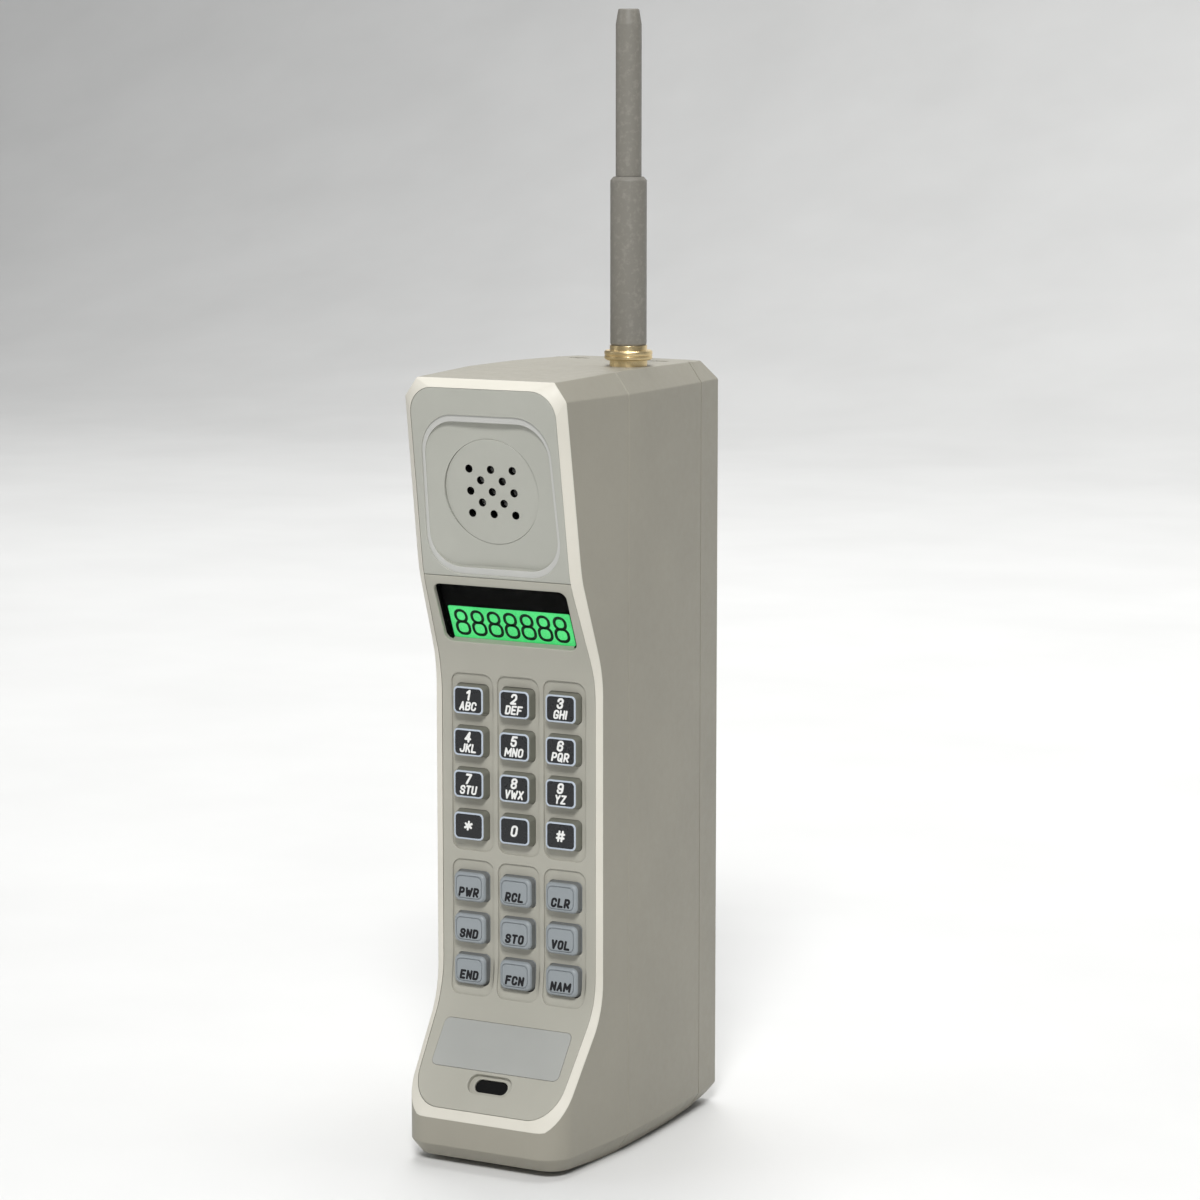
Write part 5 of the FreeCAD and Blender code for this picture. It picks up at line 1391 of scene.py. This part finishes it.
def glyph_paths():
    """Pen paths of the capitals, figures and marks that the keys need."""
    w, r = GLYPH_WIDTH, TURN
    half = w / 2
    middle = 0.52
    ring = path_of((half, 1), (w, 1, r), (w, 0, r), (0, 0, r), (0, 1, r), (half, 1))
    stem = path_of((0, 0), (0, 1))
    bowl = path_of((0, 0), (0, 1), (w, 1, r), (w, 0.42, r), (0, 0.42))
    star_center = Vector((half, 0.55))
    turns = (0, math.pi / 3, 2 * math.pi / 3)
    star_arms = [Vector((math.sin(turn), math.cos(turn))) * 0.42 for turn in turns]
    return {
        "A": [path_of((0, 0), (half, 1), (w, 0)), path_of((0.17 * w, 0.3), (0.83 * w, 0.3))],
        "B": [path_of((0, 0), (0, 1), (w, 1, r), (w, middle, r), (0, middle)),
              path_of((0, middle), (w, middle, r), (w, 0, r), (0, 0))],
        "C": [path_of((w, 0.74), (w, 1, r), (0, 1, r), (0, 0, r), (w, 0, r), (w, 0.26))],
        "D": [path_of((0, 0), (0, 1), (w, 1, r), (w, 0, r), (0, 0))],
        "E": [path_of((w, 1), (0, 1), (0, 0), (w, 0)), path_of((0, middle), (0.8 * w, middle))],
        "F": [path_of((w, 1), (0, 1), (0, 0)), path_of((0, middle), (0.8 * w, middle))],
        "G": [path_of((w, 0.76), (w, 1, r), (0, 1, r), (0, 0, r), (w, 0, r), (w, 0.42), (0.6 * w, 0.42))],
        "H": [stem, path_of((w, 0), (w, 1)), path_of((0, middle), (w, middle))],
        "I": [stem],
        "J": [path_of((w, 1), (w, 0, r), (0, 0, r), (0, 0.28))],
        "K": [stem, path_of((w, 1), (0, 0.4)), path_of((w, 0), (0.32 * w, 0.6))],
        "L": [path_of((0, 1), (0, 0), (w, 0))],
        "M": [path_of((0, 0), (0, 1), (WIDE / 2, 0.3), (WIDE, 1), (WIDE, 0))],
        "N": [path_of((0, 0), (0, 1), (w, 0), (w, 1))],
        "O": [ring],
        "P": [bowl],
        "Q": [ring, path_of((0.6 * w, 0.28), (1.1 * w, -0.08))],
        "R": [bowl, path_of((0.4 * w, 0.42), (w, 0))],
        "S": [path_of((w, 0.78), (w, 1, r), (0, 1, r), (0, middle, r),
                      (w, middle, r), (w, 0, r), (0, 0, r), (0, 0.22))],
        "T": [path_of((0, 1), (w, 1)), path_of((half, 1), (half, 0))],
        "U": [path_of((0, 1), (0, 0, r), (w, 0, r), (w, 1))],
        "V": [path_of((0, 1), (half, 0), (w, 1))],
        "W": [path_of((0, 1), (WIDE / 4, 0), (WIDE / 2, 0.7), (0.75 * WIDE, 0), (WIDE, 1))],
        "X": [path_of((0, 0), (w, 1)), path_of((0, 1), (w, 0))],
        "Y": [path_of((0, 1), (half, 0.48), (w, 1)), path_of((half, 0.48), (half, 0))],
        "Z": [path_of((0, 1), (w, 1), (0, 0), (w, 0))],
        "0": [ring],
        "1": [path_of((0, 0.76), (half, 1), (half, 0))],
        "2": [path_of((0, 0.76), (0, 1, r), (w, 1, r), (w, 0.5, r), (0, 0), (w, 0))],
        "3": [path_of((0, 0.8), (0, 1, r), (w, 1, r), (w, middle, r), (half, middle)),
              path_of((half, middle), (w, middle, r), (w, 0, r), (0, 0, r), (0, 0.2))],
        "4": [path_of((0.75 * w, 0), (0.75 * w, 1), (0, 0.28), (1.1 * w, 0.28))],
        "5": [path_of((w, 1), (0.08, 1), (0, 0.58), (w, 0.62, r), (w, 0, r), (0, 0, r), (0, 0.2))],
        "6": [path_of((w, 0.8), (w, 1, r), (0, 1, r), (0, 0, r), (w, 0, r), (w, 0.56, r), (0, 0.56))],
        "7": [path_of((0, 1), (w, 1), (0.3 * w, 0))],
        "8": [path_of((half, middle), (w, middle, r), (w, 1, r), (0, 1, r), (0, middle, r), (half, middle)),
              path_of((half, middle), (w, middle, r), (w, 0, r), (0, 0, r), (0, middle, r), (half, middle))],
        "9": [path_of((0, 0.2), (0, 0, r), (w, 0, r), (w, 1, r), (0, 1, r), (0, 0.44, r), (w, 0.44))],
        "*": [path_of(star_center - arm, star_center + arm) for arm in star_arms],
        "#": [path_of((0.2, 0), (0.2, 1)), path_of((0.6, 0), (0.6, 1)),
              path_of((0, 0.3), (WIDE, 0.3)), path_of((0, 0.7), (WIDE, 0.7))],
    }


GLYPHS = glyph_paths()
SLANT = 0.2
LEGEND_RELIEF = 0.03


def distance_to_path(point, path):
    """Shortest distance from a flat point to a pen path."""
    shortest = math.inf
    for first, second in zip(path, path[1:]):
        along = second - first
        share = (point - first).dot(along) / along.length_squared
        shortest = min(shortest, (first + along * min(max(share, 0.0), 1.0) - point).length)
    return shortest


def pen_mark(builder, paths, half_pen, place_at):
    """Raised mark left by a round pen that follows the paths, welded into one outline."""
    points = []
    edges = []
    cap_steps = 6
    for path in paths:
        for first, second in zip(path, path[1:]):
            heading = math.atan2(second.y - first.y, second.x - first.x)
            start = len(points)
            for center, turn in ((second, heading - math.pi / 2), (first, heading + math.pi / 2)):
                for step in range(cap_steps + 1):
                    angle = turn + math.pi * step / cap_steps
                    points.append(center + Vector((math.cos(angle), math.sin(angle))) * half_pen)
            count = len(points) - start
            edges.extend((start + index, start + (index + 1) % count) for index in range(count))
    flat, _, triangles, *_ = delaunay_2d_cdt(points, edges, [], 0, 1e-5)
    reach = half_pen * math.cos(math.pi / 2 / cap_steps)
    inked = []
    for corners in triangles:
        middle = sum((flat[i] for i in corners), Vector((0, 0))) / 3
        if min(distance_to_path(middle, path) for path in paths) < reach:
            inked.append(corners)
    top = {i: builder.mesh.verts.new(place_at(LEGEND_RELIEF)(flat[i]) * MM) for face in inked for i in face}
    foot = {i: builder.mesh.verts.new(place_at(0.0)(flat[i]) * MM) for i in top}
    sides = [pair for face in inked for pair in zip(face, (*face[1:], face[0]))]
    for corners in inked:
        builder.face([top[i] for i in corners])
        builder.face([foot[i] for i in reversed(corners)])
    for first, second in sides:
        if (second, first) not in sides:
            builder.face([foot[first], foot[second], top[second], top[first]])


def write_line(builder, text, height, pen, center_up, place_at):
    """One centred, slanted line of lettering; height is measured over the pen's width."""
    scale = height - pen
    gap = pen * 1.3
    widths = [max(corner[0] for path in GLYPHS[letter] for corner in path) * scale for letter in text]
    across = -(sum(widths) + gap * (len(text) - 1)) / 2
    low = center_up - scale / 2
    for letter, width in zip(text, widths):
        paths = [
            [
                Vector((across + (point.x + SLANT * (point.y - 0.5)) * scale, low + point.y * scale))
                for point in rounded_path(path, 4)
            ]
            for path in GLYPHS[letter]
        ]
        pen_mark(builder, paths, pen / 2, place_at)
        across += width + gap


def legend(name, x, z, lines, rise, material):
    """Legend of one key: lines of (text, height, pen, height on the face)."""
    builder = Builder()

    def place_at(height):
        return on_grip(x, z)(rise + height)

    for text, height, pen, up in lines:
        write_line(builder, text, height, pen, up, place_at)
    node = "key_" + name
    builder.finish(node + "_legend", node, [material])


# Lettering as (height, pen width, height on the key's face).
FUNCTION_LINE = (2.45, 0.6, -1.2)
DIGIT_LINE = (2.75, 0.56, 1.35)
LETTERS_LINE = (2.3, 0.47, -1.4)
SINGLE_LINE = (2.9, 0.56, 0.0)


def keypad():
    """All keys with their legends."""
    for name, x, z, kind in key_spots():
        if kind == "function":
            function_key(name, x, z)
            legend(name, x, z, [(FUNCTION_LEGENDS[name], *FUNCTION_LINE)], KEY_RISE, "legend_black")
            continue
        number_key(name, x, z)
        mark = NUMBER_MARKS.get(name, name)
        letters = NUMBER_LEGENDS[name]
        lines = [(mark, *DIGIT_LINE), (letters, *LETTERS_LINE)] if letters else [(mark, *SINGLE_LINE)]
        legend(name, x, z, lines, TILE_FACE, "legend_white")


# ---------------------------------------------------------------- antenna

ANTENNA = Vector((14.0, 19.0))
TURNED_SIDES = 72
SOCKET_RADIUS = 3.1
CORE_RADIUS = 1.6
SLEEVE_TOP = 46.5


def turned(node, material, outline, hollow=False):
    """Turned part on the antenna's axis from (radius, height above the top, rounding) corners."""
    builder = Builder()
    rings = [
        builder.ring([(spot.x, spot.y, TOP_SEAM_Z + rise) for spot in circle(radius, ANTENNA, TURNED_SIDES)])
        for radius, rise in rounded_path(outline, 4)
    ]
    builder.bands(rings)
    if hollow:
        builder.band(rings[-1], rings[0])
    else:
        builder.face(rings[-1])
        builder.face(list(reversed(rings[0])))
    builder.stand_for(node, material)


def antenna():
    """Brass collar, thick sleeve and thinner whip."""
    turned("antenna_collar", "antenna_brass", [
        (SOCKET_RADIUS, 1.55, 0), (5.55, 1.55, 0), (5.95, 1.95, 0.1), (5.95, 2.5, 0.05), (5.8, 2.6, 0.05),
        (5.8, 2.8, 0.05), (5.95, 2.9, 0.05), (5.95, 3.6, 0.2), (5.65, 3.9, 0.15), (4.6, 3.9, 0.1),
        (4.6, 5.15, 0.1), (SOCKET_RADIUS, 5.15, 0),
    ], hollow=True)
    turned("antenna_sleeve", "antenna_rubber", [
        (CORE_RADIUS, 5.22, 0), (4.3, 5.22, 0.1), (4.5, 5.6, 0.3), (4.5, 45.6, 0.5), (3.7, SLEEVE_TOP, 0.3),
        (3.2, SLEEVE_TOP, 0), (CORE_RADIUS, SLEEVE_TOP, 0),
    ], hollow=True)
    turned("antenna_whip", "antenna_rubber", [
        (CORE_RADIUS, 46.55, 0), (3.18, 46.55, 0), (3.18, 83.4, 1.2), (2.55, 87.2, 0.5), (0.4, 87.2, 0),
    ])


# ---------------------------------------------------------------- carried-over nodes

def dress_cad_nodes():
    """Give every CAD node the material of its slot."""
    for node, piece in NODES.items():
        piece.data.materials.clear()
        piece.data.materials.append(MATERIALS[SLOT_OF_NODE[node]])


# ---------------------------------------------------------------- camera, light, floor

VIEW_AZIMUTH = math.radians(28.6)
VIEW_PITCH = math.radians(8.0)
VIEW_DISTANCE = 0.91
VIEW_TARGET = Vector((0.0138, 0.0047, 0.1375))
VIEW_LENS = 111.0
SENSOR = 36.0
BODY_MIDDLE = (0.0, 0.0, 0.12)


def add_camera():
    """Long-lens camera to the right of the keypad and a little above it."""
    forward = Vector((
        -math.sin(VIEW_AZIMUTH) * math.cos(VIEW_PITCH),
        math.cos(VIEW_AZIMUTH) * math.cos(VIEW_PITCH),
        -math.sin(VIEW_PITCH),
    ))
    data = bpy.data.cameras.new("camera")
    data.lens = VIEW_LENS
    data.sensor_width = SENSOR
    camera = bpy.data.objects.new("camera", data)
    camera.location = VIEW_TARGET - forward * VIEW_DISTANCE
    camera.rotation_euler = forward.to_track_quat("-Z", "Y").to_euler()
    bpy.context.scene.collection.objects.link(camera)
    bpy.context.scene.camera = camera


def add_area_light(name, location, target, size, power):
    """Round soft light that looks at a target."""
    data = bpy.data.lights.new(name, "AREA")
    data.shape = "DISK"
    data.size = size
    data.energy = power
    light = bpy.data.objects.new(name, data)
    light.location = location
    light.rotation_euler = (Vector(target) - Vector(location)).to_track_quat("-Z", "Y").to_euler()
    bpy.context.scene.collection.objects.link(light)


def around(azimuth, elevation, distance):
    """Position round the phone: azimuth 0 is straight ahead of the keypad, positive to its right."""
    turn = math.radians(azimuth)
    rise = math.radians(elevation)
    return (
        distance * math.sin(turn) * math.cos(rise),
        -distance * math.cos(turn) * math.cos(rise),
        BODY_MIDDLE[2] + distance * math.sin(rise),
    )


def add_floor():
    """Pale floor with a soft sweep up behind."""
    size = 6.0
    sweep_start = 1.6
    sweep_radius = 1.2
    wall_top = 4.0
    steps = 12
    rows = [(-size, 0.0), (sweep_start, 0.0)]
    for step in range(1, steps + 1):
        angle = math.pi / 2 * step / steps
        rows.append((sweep_start + sweep_radius * math.sin(angle), sweep_radius * (1 - math.cos(angle))))
    rows.append((sweep_start + sweep_radius, wall_top))
    work = bmesh.new()
    edges = [[work.verts.new((x, y, z - 0.2 * MM)) for x in (-size, size)] for y, z in rows]
    for near, far in zip(edges, edges[1:]):
        face = work.faces.new((near[0], near[1], far[1], far[0]))
        face.smooth = True
    mesh = bpy.data.meshes.new("floor")
    work.to_mesh(mesh)
    work.free()
    shader = Shader("floor_paper")
    paper = shader.noise(8.0, detail=3.0)
    shader.color(shader.blend(paper, 0.3, 0.7, (0.70, 0.70, 0.69), (0.74, 0.74, 0.73)))
    shader.set(Roughness=0.8)
    mesh.materials.append(shader.material)
    floor = bpy.data.objects.new("floor", mesh)
    bpy.context.scene.collection.objects.link(floor)


def add_lights():
    """Key, fill and rim lights on the phone, and one on the backdrop."""
    add_area_light("key_light", around(26.0, 41.0, 1.9), BODY_MIDDLE, 0.5, 28.5)
    add_area_light("fill_light", around(-60.0, 25.0, 2.2), BODY_MIDDLE, 1.2, 6.0)
    add_area_light("rim_light", around(-150.0, 50.0, 2.0), BODY_MIDDLE, 0.8, 10.0)
    add_area_light("backdrop_light", (0.0, 0.4, 2.2), (0.0, 2.6, 0.6), 1.5, 45.0)


def add_world():
    """World that lights the phone dimly and looks bright to the camera."""
    lighting = 0.18
    backdrop = 0.72
    world = bpy.data.worlds.new("studio")
    world.use_nodes = True
    tree = world.node_tree
    background = tree.nodes["Background"]
    background.inputs["Color"].default_value = (0.9, 0.92, 0.95, 1.0)
    seen = tree.nodes.new("ShaderNodeLightPath")
    strength = tree.nodes.new("ShaderNodeMapRange")
    strength.inputs["To Min"].default_value = lighting
    strength.inputs["To Max"].default_value = backdrop
    tree.links.new(seen.outputs["Is Camera Ray"], strength.inputs["Value"])
    tree.links.new(strength.outputs["Result"], background.inputs["Strength"])
    bpy.context.scene.world = world
    bpy.context.scene.view_settings.view_transform = "Standard"


# ---------------------------------------------------------------- assembly of the scene

dress_cad_nodes()
front_housing()
rear_housing()
battery_cover()
front_panel()
earpiece_panel()
earpiece_grille()
front_plates()
display_digits()
keypad()
antenna()
add_camera()
add_floor()
add_lights()
add_world()
